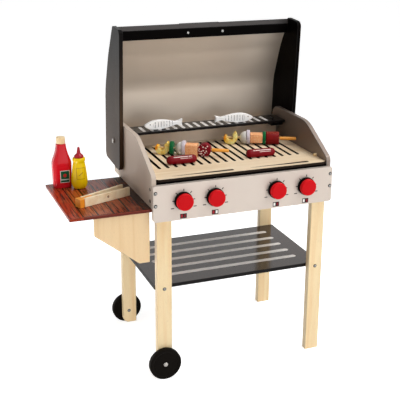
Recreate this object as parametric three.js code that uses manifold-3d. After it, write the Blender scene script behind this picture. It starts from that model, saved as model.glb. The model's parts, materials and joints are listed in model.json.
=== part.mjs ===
// A toy barbecue grill of plywood and solid wood: an open firebox with a hinged
// lid, four turning knobs, four legs with two wheels, a shelf, a side table, and
// the play food, bottles and tongs that lie on it.
// Lengths are in millimetres. X runs to the right of someone who stands at the
// knobs, Y runs away from them and Z runs up from the floor.
import * as THREE from 'three';
import { mergeVertices } from 'three/addons/utils/BufferGeometryUtils.js';
import Module from 'manifold-3d';

const wasm = await Module();
wasm.setup();

// Clearances
const seat = 0.3; // between pieces that rest on, or are fixed against, each other
const runningGap = 0.4; // of a hole around something that turns
const overrun = 3; // how far a cutter reaches past what it cuts
const degree = Math.PI / 180;

// Firebox
const bodyWidth = 380; // over the side panels, and the width of the front panel
const bodyDepth = 268; // from the face of the front panel to the back of the legs
const boardThick = 9; // front, side and back panels
const panelBottom = 336.5; // lower edge of the front panel above the floor
const panelHeight = 72.6;
const panelRadius = 5;
const sideRise = 70.4; // top of the side panels above the front panel
const slopeRise = 16.9; // start of the side panels' slope above the front panel
const slopeAngle = 28.5 * degree;
const sideFrontRadius = 12;
const sideCrownRadius = 80;
const sideBackRadius = 24;
const sideFootRadius = 3;

// Cooking surface
const trayRise = 3.7; // top of the tray board above the front panel
const trayThick = 6;
const grateThick = 5;
const grateRadius = 9;
const slotCount = 18;
const slotWidth = 6.5;
const slotSideEdge = 26.4; // solid borders around the slots
const slotFrontEdge = 66;
const slotBackEdge = 13;
const grooveWidth = 4;
const grooveDepth = 2.2;
const grooveSideEdge = 35.4; // from the grate's side to the nearer groove end
const grooveGap = 37; // between the two grooves
const grooveEdge = 14; // from the grate's front edge to the grooves
const pegRadius = 3;
const pegReach = 7; // how far a retaining peg stands out of the side panel
const pegSetback = 52; // from the front panel to the peg

// Warming rack
const rackRise = 41.4; // top of the rack above the grate
const rackThick = 5.5;
const rackDepth = 53;
const rackCleatWidth = 28;
const rackCleatDepth = 33;
const rackCleatThick = 8;

// Legs and shelf
const legWidth = 30;
const legDepth = 13.5;
const legLift = 4.5; // gap under the legs that carry the wheels
const legFootRadius = 12;
const shelfTop = 195;
const shelfThick = 7.6;
const shelfOverhang = 1.8; // of the shelf past the outer faces of the legs

// Side table
const tableReach = 158.7; // of the table past the side panel
const tableDepth = 216.5;
const tableThick = 5.8;
const tableRise = 24.8; // table top above the lower edge of the front panel
const bracketThick = 6;
const bracketSetback = 5.7; // behind the front edge of the table
const bracketLength = 108;
const bracketDrop = 103.7;
const bracketLip = 36.5; // depth of the bracket at its outer end
const bracketFoot = 21; // width of the bracket at its lower end
const bracketGap = 3; // between the bracket and the line of the side panel

// Lid, whose profile is given as it lies closed
const openAngle = 86.5 * degree;
const lidThick = 8;
const hingeGap = 1.3; // between a lid side and the side panel beside it
const pivotSetback = 31; // from the back of the legs to the hinge axis
const pivotRise = 28.9; // hinge axis above the front panel
const lidFrontReach = 4; // of the closed lid in front of the front panel
const lidBackReach = 53; // behind the hinge axis
const lidDrop = 45; // lower edge of the closed lid below the hinge axis
const lipRise = 17.5; // front of the lid's slope above the side panels' slope
const kneeDepth = 64; // from the front panel to the knee in the slope
const kneeRise = 20.8; // of the knee above the side panels' slope
const crownDepth = 140;
const lidHeadroom = 20.5; // top of the lid above the side panels
const lidCornerRadius = 12;
const lipRadius = 5;
const kneeRadius = 120;
const crownRadius = 100;
const hoodInset = 2; // of the hood below the edges of the lid sides
const hoodThick = 4;
const hoodBackGap = 2; // between the hood's back edge and the lid sides' edge
const noseDepth = 9.5; // of the hood's thick front edge
const railDepth = 20;
const railRise = 13; // underside of the lid's front rail above the slope's start

// Lid handle
const handleSpan = 77; // between the handle's posts
const handleLength = 92;
const handleGripRadius = 6.5;
const handlePostRadius = 6;
const handleHeight = 25; // from the hood to the middle of the grip
const handleSetback = 22; // from the front panel to the handle's foot

// Knobs
const knobRadius = 18;
const knobCapRadius = 16.6;
const knobBaseDepth = 7.5;
const knobCapDepth = 8;
const knobBevel = 1;
const knobRise = 38.9; // knob centre above the lower edge of the front panel
const knobPitch = 65.2; // between the two knobs of a pair
const knobPairGap = 130.4; // between the inner knobs
const spindleRadius = 3.5;
const collarRadius = 7;
const collarDepth = 4;

// Wheels
const wheelRadius = 33;
const wheelThick = 11.5;
const wheelBevel = 1.6;
const wheelRecess = 1.2;
const wheelRimWidth = 6.4;
const wheelGap = 1; // between a wheel and its leg
const wheelSetout = 2.2; // of a wheel's axis outside the middle of its leg
const boltRadius = 2.6;
const boltSink = 11; // how far a wheel bolt runs into its leg
const boltHeadRadius = 4.6;
const boltHeadHeight = 2.4;

// Hinge bolts
const hingeBoltRadius = 3;
const hingeHeadRadius = 5.4;
const hingeHeadHeight = 2.6;

// Bottles
const ketchupHeight = 91;
const ketchupHalfWidth = 20;
const ketchupCapHeight = 13.6;
const ketchupCapRadius = 9.4;
const mustardHeight = 64;
const mustardRadius = 16.4;
const nozzleHeight = 22;
const nozzleRadius = 9.4;

// Tongs
const tongsHeight = 17.4;
const tongsArmLength = 107;
const tongsArmThick = 5;
const tongsBlockLength = 10.6;
const tongsBlockWidth = 16;
const tongsTongueLength = 22;
const tongsSpread = 3 * degree;
const tongsTurn = 23.5 * degree;
const tongsPanelGap = 20.6; // between the tips of the tongs and the side panel

// Play food
const stickRadius = 2;
const stickHandleRadius = 3.5;
const stickLength = 160;
const stickHandleLength = 35;
const morselRadius = 14;
const sausageRadius = 8.5;
const sausageLength = 63;
const fishLength = 86;
const fishHeight = 20.5;
const fishThick = 9;

// How finely round shapes are faceted
const cornerStep = 15 * degree;
const curveStep = 7.5 * degree;
const sheetStep = 4 * degree;
const broadSides = 32;
const roundSides = 16;
const smallSides = 12;

// Shares of a piece's own size that its small forms take
const slotEndShare = 0.9; // radius of a slot's ends over its half width
const headCrownShare = 0.6; // flat top of a bolt's head over its radius
const edgeBevelShare = 0.25; // bevel of a turned grip, cap or stick over its radius
const cubeWidthShare = 0.8; // half width of a morsel cut as a cube, over a morsel's radius
const cubeTopShare = 0.7;
const loafShare = 0.65; // half height of a flatter cube over a morsel's radius
const salamiWidthShare = 1.2; // width of a slice over its radius
const shrimpBellyShare = 0.42; // inner radius of a shrimp over its outer radius
const shrimpTailShare = 0.78;
const onionRadiusShare = 1.09; // of a lilac ring over a morsel's

// Heights and places that follow from the sizes above
const halfWidth = bodyWidth / 2;
const innerHalf = halfWidth - boardThick; // inner faces of the side panels
const fittedHalf = innerHalf - seat; // what fits between the side panels
const panelTop = panelBottom + panelHeight;
const panelBack = boardThick + seat;
const legCentre = fittedHalf - legWidth / 2;
const rearLegFront = bodyDepth - legDepth;
const tableTop = panelBottom + tableRise;
const tableUnder = tableTop - tableThick;
const tableFront = panelBack;
const tableBack = tableFront + tableDepth;
const sideBottom = tableTop + seat;
const sideTop = panelTop + sideRise;
const slopeStart = panelTop + slopeRise;
const trayTop = panelTop + trayRise;
const trayUnder = trayTop - trayThick;
const grateUnder = trayTop + seat;
const grateTop = grateUnder + grateThick;
const rackTop = grateTop + rackRise;
const rackUnder = rackTop - rackThick;
const stickRun = stickLength - stickHandleLength; // thin part of a stick
const backPanelBack = rearLegFront - seat;
const backPanelFront = backPanelBack - boardThick;
const cookBack = backPanelFront - seat; // back of the cooking surface
const cookDepth = cookBack - panelBack;
const rackFront = rearLegFront - rackDepth;
const pivotY = bodyDepth - pivotSetback;
const pivotZ = panelTop + pivotRise;
const lidTop = sideTop + lidHeadroom;
const lidInnerHalf = halfWidth + hingeGap;
const lidOuterHalf = lidInnerHalf + lidThick;
const lidBack = pivotY + lidBackReach;
const lidFloor = pivotZ - lidDrop;
const hoodHalf = lidInnerHalf - seat;
const railUnder = slopeStart + railRise;
const railFront = hoodInset + noseDepth - lidFrontReach + seat;
const knobZ = panelBottom + knobRise;
const wheelX = -(legCentre + wheelSetout);

// Finishes
function finish(color, roughness = 0.6, metalness = 0) {
  return new THREE.MeshStandardMaterial({ color, roughness, metalness });
}
const silver = finish(0xb9b1a6, 0.45, 0.2);
const black = finish(0x0d0b0b, 0.35);
const charcoal = finish(0x2f2926, 0.5);
const naturalPly = finish(0xe6c592, 0.65);
const redwood = finish(0x7c3420, 0.5);
const red = finish(0xc8161c, 0.35);
const steel = finish(0xb5b5b5, 0.3, 0.9);
const mustardYellow = finish(0xf0c400, 0.35);
const orange = finish(0xef8410, 0.5);
const white = finish(0xeeeeee, 0.5);
const darkRed = finish(0x7a1019, 0.5);
const salmonPink = finish(0xe79a6c, 0.6);
const shrimpYellow = finish(0xf2a52a, 0.5);
const leafGreen = finish(0x4f9c3a, 0.7);
const lilac = finish(0xb9a0cf, 0.7);

// Shapes
/** Points of an outline whose corners are [u, v, radius], with round corners as arcs. */
function rounded(corners, arcStep = cornerStep) {
  const count = corners.length;
  const origin = new THREE.Vector2();
  return corners.flatMap(([u, v, radius], i) => {
    const here = new THREE.Vector2(u, v);
    if (!radius) return [here];
    const [bu, bv] = corners[(i + count - 1) % count];
    const [au, av] = corners[(i + 1) % count];
    const before = new THREE.Vector2(bu, bv).sub(here).normalize();
    const after = new THREE.Vector2(au, av).sub(here).normalize();
    const half = Math.acos(before.dot(after)) / 2;
    const centre = before.clone().add(after).normalize();
    centre.multiplyScalar(radius / Math.sin(half)).add(here);
    const tangent = radius / Math.tan(half);
    const start = before.multiplyScalar(tangent).add(here).sub(centre);
    const end = after.multiplyScalar(tangent).add(here).sub(centre);
    const sweep = Math.atan2(start.cross(end), start.dot(end));
    const steps = Math.max(2, Math.round(Math.abs(sweep) / arcStep));
    return Array.from({ length: steps + 1 }, (_, k) => (
      start.clone().rotateAround(origin, (sweep * k) / steps).add(centre)));
  });
}

/** Corners of a rectangle with one radius for all of them. */
function rectangle(u0, v0, u1, v1, radius = 0) {
  return [[u0, v0, radius], [u1, v0, radius], [u1, v1, radius], [u0, v1, radius]];
}

/** A board cut to an outline in the XY plane and thick along Z, from z upwards. */
function flatBoard(points, thick, z, holes = []) {
  const shape = new THREE.Shape(points);
  holes.forEach((hole) => shape.holes.push(new THREE.Path(hole)));
  const geometry = new THREE.ExtrudeGeometry(shape, { depth: thick, bevelEnabled: false });
  return geometry.translate(0, 0, z);
}

/** A board cut to an outline in the XZ plane and thick along Y, from y backwards. */
function uprightBoard(points, thick, y) {
  const turn = new THREE.Matrix4().makeBasis(
    new THREE.Vector3(1, 0, 0), new THREE.Vector3(0, 0, 1), new THREE.Vector3(0, -1, 0));
  return flatBoard(points, thick, 0).applyMatrix4(turn).translate(0, y + thick, 0);
}

/** A board cut to an outline in the YZ plane and thick along X, from x to the right. */
function sideBoard(points, thick, x) {
  const turn = new THREE.Matrix4().makeBasis(
    new THREE.Vector3(0, 1, 0), new THREE.Vector3(0, 0, 1), new THREE.Vector3(1, 0, 0));
  return flatBoard(points, thick, 0).applyMatrix4(turn).translate(x, 0, 0);
}

/** A rectangular block between two corners. */
function block(x0, y0, z0, x1, y1, z1) {
  const geometry = new THREE.BoxGeometry(x1 - x0, y1 - y0, z1 - z0);
  return geometry.translate((x0 + x1) / 2, (y0 + y1) / 2, (z0 + z1) / 2);
}

/** A piece turned about Z: its profile is [radius, height] pairs. */
function turned(profile, sides = roundSides) {
  const points = profile.map(([radius, height]) => new THREE.Vector2(radius, height));
  return new THREE.LatheGeometry(points, sides).rotateX(Math.PI / 2);
}

/** Points a piece that was made along Z in a direction, and moves its foot to a place. */
function aimed(geometry, direction, at) {
  const axis = new THREE.Vector3(...direction).normalize();
  const turn = new THREE.Quaternion().setFromUnitVectors(new THREE.Vector3(0, 0, 1), axis);
  return geometry.applyQuaternion(turn).translate(...at);
}

/** A round bar that starts at a place and runs in a direction. */
function bar(radius, length, direction, at, sides = roundSides) {
  return aimed(turned([[0, 0], [radius, 0], [radius, length], [0, length]], sides), direction, at);
}

function toSolid(geometry) {
  const bare = geometry.clone();
  bare.deleteAttribute('normal');
  bare.deleteAttribute('uv');
  const closed = mergeVertices(bare);
  return new wasm.Manifold(new wasm.Mesh({
    numProp: 3,
    vertProperties: new Float32Array(closed.attributes.position.array),
    triVerts: new Uint32Array(closed.index.array),
  }));
}

function toGeometry(solid) {
  const { vertProperties, triVerts } = solid.getMesh();
  const geometry = new THREE.BufferGeometry();
  geometry.setAttribute('position', new THREE.BufferAttribute(new Float32Array(vertProperties), 3));
  geometry.setIndex(new THREE.BufferAttribute(new Uint32Array(triVerts), 1));
  return geometry;
}

/** A piece with other shapes cut out of it. */
function cut(geometry, cutters) {
  return toGeometry(cutters.reduce((left, cutter) => left.subtract(toSolid(cutter)), toSolid(geometry)));
}

/** A piece made of shapes that run into each other. */
function joined(geometries) {
  return toGeometry(geometries.map(toSolid).reduce((whole, next) => whole.add(next)));
}

function mesh(name, geometry, material) {
  const piece = new THREE.Mesh(geometry, material);
  piece.name = name;
  return piece;
}

/** Runs a maker for the left side, -1, and the right side, 1. */
function bothSides(make) {
  return [make(-1, 'left'), make(1, 'right')];
}

// Firebox
const knobPlaces = [
  -(knobPairGap / 2 + knobPitch), -knobPairGap / 2, knobPairGap / 2, knobPairGap / 2 + knobPitch,
];

function frontPanel() {
  const outline = rounded(rectangle(-halfWidth, panelBottom, halfWidth, panelTop, panelRadius));
  const holes = knobPlaces.map((x) => (
    bar(spindleRadius + runningGap, boardThick + 2 * overrun, [0, 1, 0], [x, -overrun, knobZ])));
  return mesh('front_panel', cut(uprightBoard(outline, boardThick, 0), holes), silver);
}

/** The hole that both hinge bolts turn in, right through the grill. */
function hingeHole() {
  const start = -(lidOuterHalf + overrun);
  return bar(hingeBoltRadius + runningGap, -2 * start, [1, 0, 0], [start, pivotY, pivotZ]);
}

/** Side panels, each with the peg that keeps the grate down. */
function sidePanels() {
  const slopeEnd = panelBack + (sideTop - slopeStart) / Math.tan(slopeAngle);
  const outline = rounded([
    [panelBack, sideBottom, 0],
    [bodyDepth, sideBottom, sideFootRadius],
    [bodyDepth, sideTop, sideBackRadius],
    [slopeEnd, sideTop, sideCrownRadius],
    [panelBack, slopeStart, sideFrontRadius],
  ], curveStep);
  const pegZ = grateTop + seat + pegRadius;
  return bothSides((side, word) => {
    const board = sideBoard(outline, boardThick, side < 0 ? -halfWidth : innerHalf);
    const pegStart = side * (halfWidth - boardThick / 2);
    const pegLength = boardThick / 2 + pegReach;
    const peg = bar(pegRadius, pegLength, [-side, 0, 0], [pegStart, pegSetback, pegZ], smallSides);
    return mesh(`${word}_side_panel`, cut(joined([board, peg]), [hingeHole()]), silver);
  });
}

function backPanel() {
  return mesh('back_panel',
    block(-fittedHalf, backPanelFront, sideBottom, fittedHalf, backPanelBack, rackUnder - seat), silver);
}

function trayBoard() {
  return mesh('tray_board', block(-fittedHalf, panelBack, trayUnder, fittedHalf, cookBack, trayTop), black);
}

/** A routed groove, deep and round at its right end, that runs out to the left. */
function groove(leftEnd, rightEnd) {
  const y = panelBack + grooveEdge;
  const wedge = uprightBoard([
    new THREE.Vector2(leftEnd, grateTop),
    new THREE.Vector2(rightEnd, grateTop - grooveDepth),
    new THREE.Vector2(rightEnd, grateTop + overrun),
    new THREE.Vector2(leftEnd, grateTop + overrun),
  ], grooveWidth, y - grooveWidth / 2);
  const end = bar(grooveWidth / 2, grooveDepth + overrun, [0, 0, 1], [rightEnd, y, grateTop - grooveDepth]);
  return joined([wedge, end]);
}

function cookingGrate() {
  const outline = rounded([
    [-fittedHalf, panelBack, grateRadius], [fittedHalf, panelBack, grateRadius],
    [fittedHalf, cookBack, 0], [-fittedHalf, cookBack, 0],
  ]);
  const first = slotSideEdge + slotWidth / 2 - fittedHalf;
  const half = slotWidth / 2;
  const slotFront = panelBack + slotFrontEdge;
  const slotBack = cookBack - slotBackEdge;
  const slots = Array.from({ length: slotCount }, (_, i) => {
    const x = first * (1 - (2 * i) / (slotCount - 1));
    return rounded(rectangle(x - half, slotFront, x + half, slotBack, half * slotEndShare), 2 * cornerStep);
  });
  const outer = fittedHalf - grooveSideEdge;
  const grooves = [groove(-outer, -grooveGap / 2), groove(grooveGap / 2, outer)];
  return mesh('cooking_grate', cut(flatBoard(outline, grateThick, grateUnder, slots), grooves), naturalPly);
}

function warmingRack() {
  return mesh('warming_rack',
    block(-fittedHalf, rackFront, rackUnder, fittedHalf, rearLegFront, rackTop), black);
}

/** Blocks on the side panels that carry the ends of the rack. */
function rackCleats() {
  const top = rackUnder - seat;
  return bothSides((side, word) => {
    const x0 = side < 0 ? -fittedHalf : fittedHalf - rackCleatWidth;
    return mesh(`${word}_rack_cleat`,
      block(x0, cookBack - rackCleatDepth, top - rackCleatThick, x0 + rackCleatWidth, cookBack, top), black);
  });
}

// Legs and shelf
const legRows = [
  { row: 'front', y: panelBack, top: trayUnder - seat, face: panelBack, way: -1 },
  { row: 'rear', y: rearLegFront, top: rackUnder - seat, face: bodyDepth, way: 1 },
];

/** Legs: the left pair is cut short and carries the wheels on blind bolts. */
function legs() {
  return legRows.flatMap(({ row, y, top, face, way }) => bothSides((side, word) => {
    const inner = side * (legCentre - legWidth / 2);
    const outer = side * (legCentre + legWidth / 2);
    const onWheels = side < 0;
    const bottom = onWheels ? legLift : 0;
    const outline = rounded([
      [inner, bottom, 0], [outer, bottom, onWheels ? legFootRadius : 0], [outer, top, 0], [inner, top, 0],
    ]);
    const name = `${row}_${word}_leg`;
    const leg = uprightBoard(outline, legDepth, y);
    if (!onWheels) return mesh(name, leg, naturalPly);
    const hole = bar(boltRadius + seat, boltSink + seat + overrun, [0, -way, 0],
      [wheelX, face + way * overrun, wheelRadius]);
    return mesh(name, cut(leg, [hole]), naturalPly);
  }));
}

function lowerShelf() {
  const half = fittedHalf + shelfOverhang;
  const front = panelBack + legDepth + seat;
  return mesh('lower_shelf',
    block(-half, front, shelfTop - shelfThick, half, rearLegFront - seat, shelfTop), charcoal);
}

// Side table
function sideTable() {
  const outer = -(halfWidth + tableReach);
  const inner = -(fittedHalf + seat);
  return mesh('side_table', block(outer, tableFront, tableUnder, inner, tableBack, tableTop), redwood);
}

function tableBracket() {
  const inner = -(halfWidth + bracketGap);
  const outer = inner - bracketLength;
  const top = tableUnder - seat;
  const outline = rounded([
    [inner, top, 0], [outer, top, 0], [outer, top - bracketLip, 0],
    [inner - bracketFoot, top - bracketDrop, 0], [inner, top - bracketDrop, 0],
  ]);
  return mesh('table_bracket', uprightBoard(outline, bracketThick, tableFront + bracketSetback), naturalPly);
}

// Knobs
/** Knobs: a base whose spindle runs through the panel to a collar, and a cap on it. */
function knobs() {
  const collarFront = boardThick + seat;
  const foot = seat + knobBaseDepth + seat;
  const baseProfile = [
    [0, -(collarFront + collarDepth)], [collarRadius, -(collarFront + collarDepth)],
    [collarRadius, -collarFront], [spindleRadius, -collarFront], [spindleRadius, seat],
    [knobRadius, seat], [knobRadius, seat + knobBaseDepth], [0, seat + knobBaseDepth],
  ];
  const capProfile = [
    [0, foot], [knobCapRadius, foot], [knobCapRadius, foot + knobCapDepth - knobBevel],
    [knobCapRadius - knobBevel, foot + knobCapDepth], [0, foot + knobCapDepth],
  ];
  return knobPlaces.flatMap((x, i) => [
    mesh(`knob_base_${i + 1}`, aimed(turned(baseProfile, broadSides), [0, -1, 0], [x, 0, knobZ]), black),
    mesh(`knob_cap_${i + 1}`, aimed(turned(capProfile, broadSides), [0, -1, 0], [x, 0, knobZ]), red),
  ]);
}

// Wheels
function wheels() {
  const bore = boltRadius + runningGap;
  const rim = wheelRadius - wheelRimWidth;
  const web = rim - wheelRecess;
  const profile = [
    [bore, wheelRecess], [web, wheelRecess], [rim, 0], [wheelRadius - wheelBevel, 0],
    [wheelRadius, wheelBevel], [wheelRadius, wheelThick - wheelBevel], [wheelRadius - wheelBevel, wheelThick],
    [rim, wheelThick], [web, wheelThick - wheelRecess], [bore, wheelThick - wheelRecess], [bore, wheelRecess],
  ];
  const headFoot = wheelGap + wheelThick - wheelRecess + runningGap;
  const boltProfile = [
    [0, -boltSink], [boltRadius, -boltSink], [boltRadius, headFoot], [boltHeadRadius, headFoot],
    [boltHeadRadius, headFoot + boltHeadHeight / 2],
    [boltHeadRadius * headCrownShare, headFoot + boltHeadHeight], [0, headFoot + boltHeadHeight],
  ];
  return legRows.flatMap(({ row, face, way }) => {
    const centre = [wheelX, face, wheelRadius];
    const wheelFoot = [wheelX, face + way * wheelGap, wheelRadius];
    return [
      mesh(`${row}_wheel`, aimed(turned(profile, broadSides), [0, way, 0], wheelFoot), black),
      mesh(`${row}_wheel_bolt`, aimed(turned(boltProfile), [0, way, 0], centre), steel),
    ];
  });
}

// Lid: its pieces are placed closed, about the hinge axis, and the group opens it
/** Corners of the lid's upper edge from front to back, moved inwards by an inset. */
function lidEdge(inset) {
  const kneeZ = slopeStart + (kneeDepth - panelBack) * Math.tan(slopeAngle) + kneeRise;
  return [
    [inset - lidFrontReach, slopeStart + lipRise - inset / 2, lipRadius - inset],
    [kneeDepth + inset / 3, kneeZ - inset, kneeRadius],
    [crownDepth + inset / 6, lidTop - inset, crownRadius],
  ];
}

/** Height, at a depth, of the lid's front slope moved inwards by an inset. */
function lidSlope(y, inset) {
  const [[lipY, lipZ], [kneeY, kneeZ]] = lidEdge(inset);
  return lipZ + ((y - lipY) * (kneeZ - lipZ)) / (kneeY - lipY);
}

function lidSides() {
  const outline = rounded([
    [-lidFrontReach, lidFloor, lidCornerRadius],
    [lidBack, lidFloor, lidCornerRadius],
    [lidBack, lidTop, lidCornerRadius],
    ...lidEdge(0).reverse(),
  ], curveStep);
  return bothSides((side, word) => {
    const board = sideBoard(outline, lidThick, side < 0 ? -lidOuterHalf : lidInnerHalf);
    return mesh(`lid_${word}_side`, cut(board, [hingeHole()]), black);
  });
}

/** The bent sheet of the lid, with a thick front edge that the rail sits behind. */
function lidHood() {
  const [outerLip, outerKnee, outerCrown] = lidEdge(hoodInset);
  const [, innerKnee, innerCrown] = lidEdge(hoodInset + hoodThick);
  const noseFront = hoodInset - lidFrontReach;
  const noseBack = noseFront + noseDepth;
  const back = lidBack - hoodBackGap;
  const outline = rounded([
    [noseFront, railUnder, 0], [noseBack, railUnder, 0],
    [noseBack, lidSlope(noseBack, hoodInset + hoodThick), 0],
    innerKnee, innerCrown,
    [back, lidTop - hoodInset - hoodThick, 0], [back, lidTop - hoodInset, 0],
    outerCrown, outerKnee, outerLip,
  ], sheetStep);
  return mesh('lid_hood', sideBoard(outline, 2 * hoodHalf, -hoodHalf), silver);
}

function lidRail() {
  const back = railFront + railDepth;
  const under = hoodInset + hoodThick;
  const outline = rounded([
    [railFront, railUnder, 0], [back, railUnder, 0],
    [back, lidSlope(back, under) - seat, 0], [railFront, lidSlope(railFront, under) - seat, 0],
  ]);
  return mesh('lid_front_rail', sideBoard(outline, 2 * hoodHalf, -hoodHalf), black);
}

/** The handle: two posts square to the front slope, and a grip across them. */
function lidHandle() {
  const rise = lidSlope(handleSetback + handleHeight, hoodInset) - lidSlope(handleSetback, hoodInset);
  const slope = Math.atan2(rise, handleHeight);
  const out = new THREE.Vector3(0, -Math.sin(slope), Math.cos(slope));
  const foot = new THREE.Vector3(0, handleSetback, lidSlope(handleSetback, hoodInset));
  const place = (x, reach) => foot.clone().addScaledVector(out, reach).setX(x).toArray();
  const posts = [-1, 1].map((side) => (
    bar(handlePostRadius, handleHeight - seat, out.toArray(), place((side * handleSpan) / 2, seat))));
  const bevel = handleGripRadius * edgeBevelShare;
  const grip = turned([
    [0, 0], [handleGripRadius - bevel, 0], [handleGripRadius, bevel],
    [handleGripRadius, handleLength - bevel], [handleGripRadius - bevel, handleLength], [0, handleLength],
  ]);
  const across = aimed(grip, [1, 0, 0], place(-handleLength / 2, handleHeight));
  return mesh('lid_handle', joined([...posts, across]), black);
}

function lid() {
  const closed = new THREE.Group();
  closed.add(...lidSides(), lidHood(), lidRail(), lidHandle());
  closed.position.set(0, -pivotY, -pivotZ);
  const hinge = new THREE.Group();
  hinge.add(closed);
  hinge.position.set(0, pivotY, pivotZ);
  hinge.rotation.x = -openAngle;
  return hinge;
}

/** Bolts that the lid turns on: a head outside the lid and a nut inside the firebox. */
function hingeBolts() {
  const inside = innerHalf - seat;
  const outside = lidOuterHalf + seat;
  const profile = [
    [0, inside - hingeHeadHeight], [hingeHeadRadius, inside - hingeHeadHeight],
    [hingeHeadRadius, inside], [hingeBoltRadius, inside],
    [hingeBoltRadius, outside], [hingeHeadRadius, outside],
    [hingeHeadRadius, outside + hingeHeadHeight / 2],
    [hingeHeadRadius * headCrownShare, outside + hingeHeadHeight], [0, outside + hingeHeadHeight],
  ];
  return bothSides((side, word) => (
    mesh(`${word}_hinge_bolt`, aimed(turned(profile), [side, 0, 0], [0, pivotY, pivotZ]), steel)));
}

// Bottles, which stand on the side table at shares of its length and depth
const ketchupPlaceShares = [0.809, 0.895];
const mustardPlaceShares = [0.612, 0.8];
const tongsDepthShare = 0.262;
const ketchupDepthShare = 0.66; // depth of the ketchup bottle over its width
const ketchupCornerShare = 0.55; // its corner radius over its half depth, at the foot
const ketchupNeckShare = 0.95; // and at the neck
const ketchupShares = [ // height and half width
  [0, 0.85], [0.02, 0.93], [0.3, 0.96], [0.55, 1], [0.6, 0.97], [0.68, 0.8], [0.76, 0.67], [0.84, 0.58],
  [0.93, 0.5], [1, 0.48],
];
const mustardShares = [ // radius and height
  [0, 0], [0.62, 0], [0.8, 0.05], [0.98, 0.16], [1, 0.25], [0.96, 0.42], [0.86, 0.62], [0.76, 0.78],
  [0.71, 0.84], [0.71, 0.88], [0.76, 0.9], [0.76, 0.97], [0.7, 1], [0, 1],
];
const nozzleShares = [ // radius and height
  [0, 0], [1, 0], [1, 0.18], [0.86, 0.32], [0.42, 0.42], [0.34, 0.6], [0.28, 0.9], [0.16, 1], [0, 1],
];

function onTable(reach, depthShare) {
  return [-(halfWidth + reach), tableFront + tableDepth * depthShare, tableTop + seat];
}

/** A closed shell through level rings of points that all have the same count. */
function lofted(rings) {
  const count = rings[0].length;
  const last = (rings.length - 1) * count;
  const faces = [];
  for (let r = 0; r < last; r += count) {
    for (let i = 0; i < count; i++) {
      const next = (i + 1) % count;
      faces.push(r + i, r + next, r + next + count, r + i, r + next + count, r + i + count);
    }
  }
  for (let i = 1; i < count - 1; i++) {
    faces.push(0, i + 1, i, last, last + i, last + i + 1);
  }
  const geometry = new THREE.BufferGeometry();
  geometry.setAttribute('position', new THREE.Float32BufferAttribute(rings.flat(2), 3));
  geometry.setIndex(faces);
  return geometry;
}

/** The ketchup bottle: flat and square at its foot, nearly round at its neck. */
function ketchup() {
  const rings = ketchupShares.map(([heightShare, widthShare]) => {
    const half = ketchupHalfWidth * widthShare;
    const neck = THREE.MathUtils.smoothstep(heightShare, 0.5, 1);
    const deep = half * THREE.MathUtils.lerp(ketchupDepthShare, 1, neck);
    const radius = deep * THREE.MathUtils.lerp(ketchupCornerShare, ketchupNeckShare, neck);
    return rounded(rectangle(-half, -deep, half, deep, radius), 1.5 * cornerStep)
      .map(({ x, y }) => [x, y, heightShare * ketchupHeight]);
  });
  const bevel = ketchupCapRadius * edgeBevelShare;
  const cap = turned([
    [0, 0], [ketchupCapRadius, 0], [ketchupCapRadius, ketchupCapHeight - bevel],
    [ketchupCapRadius - bevel, ketchupCapHeight], [0, ketchupCapHeight],
  ]).translate(0, 0, ketchupHeight + seat);
  const bottle = new THREE.Group();
  bottle.add(mesh('ketchup_bottle', lofted(rings), red), mesh('ketchup_cap', cap, naturalPly));
  bottle.position.set(...onTable(tableReach * ketchupPlaceShares[0], ketchupPlaceShares[1]));
  return bottle;
}

function mustard() {
  const bodyProfile = mustardShares.map(([r, h]) => [r * mustardRadius, h * mustardHeight]);
  const body = turned(bodyProfile, 1.5 * roundSides);
  const nozzle = turned(nozzleShares.map(([r, h]) => [r * nozzleRadius, h * nozzleHeight]))
    .translate(0, 0, mustardHeight + seat);
  const bottle = new THREE.Group();
  bottle.add(mesh('mustard_bottle', body, mustardYellow), mesh('mustard_nozzle', nozzle, red));
  bottle.position.set(...onTable(tableReach * mustardPlaceShares[0], mustardPlaceShares[1]));
  return bottle;
}

// Tongs
/** Tongs on their edge: two sprung strips on a block whose tongue holds them apart. */
function tongs() {
  const half = tongsBlockWidth / 2;
  const tongue = half - tongsArmThick - seat;
  const tip = tongue + tongsTongueLength * Math.tan(tongsSpread);
  const outline = rounded([
    [0, -half, knobBevel], [tongsBlockLength, -half, 0], [tongsBlockLength, -tongue, 0],
    [tongsBlockLength + tongsTongueLength, -tip, 0], [tongsBlockLength + tongsTongueLength, tip, 0],
    [tongsBlockLength, tongue, 0], [tongsBlockLength, half, 0], [0, half, knobBevel],
  ]);
  const arms = [[-1, 'front'], [1, 'rear']].map(([side, word]) => {
    const near = Math.min(0, -side * tongsArmThick);
    const arm = block(0, near, 0, tongsArmLength, near + tongsArmThick, tongsHeight);
    const hold = new THREE.Group();
    hold.add(mesh(`tongs_${word}_arm`, arm, naturalPly));
    hold.position.set(tongsBlockLength + 2 * seat, side * half, 0);
    hold.rotation.z = side * tongsSpread;
    return hold;
  });
  const pair = new THREE.Group();
  pair.add(mesh('tongs_block', flatBoard(outline, tongsHeight, 0), orange), ...arms);
  const reach = (tongsBlockLength + 2 * seat + tongsArmLength) * Math.cos(tongsTurn);
  pair.position.set(...onTable(tongsPanelGap + reach, tongsDepthShare));
  pair.rotation.z = tongsTurn;
  return pair;
}

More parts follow.
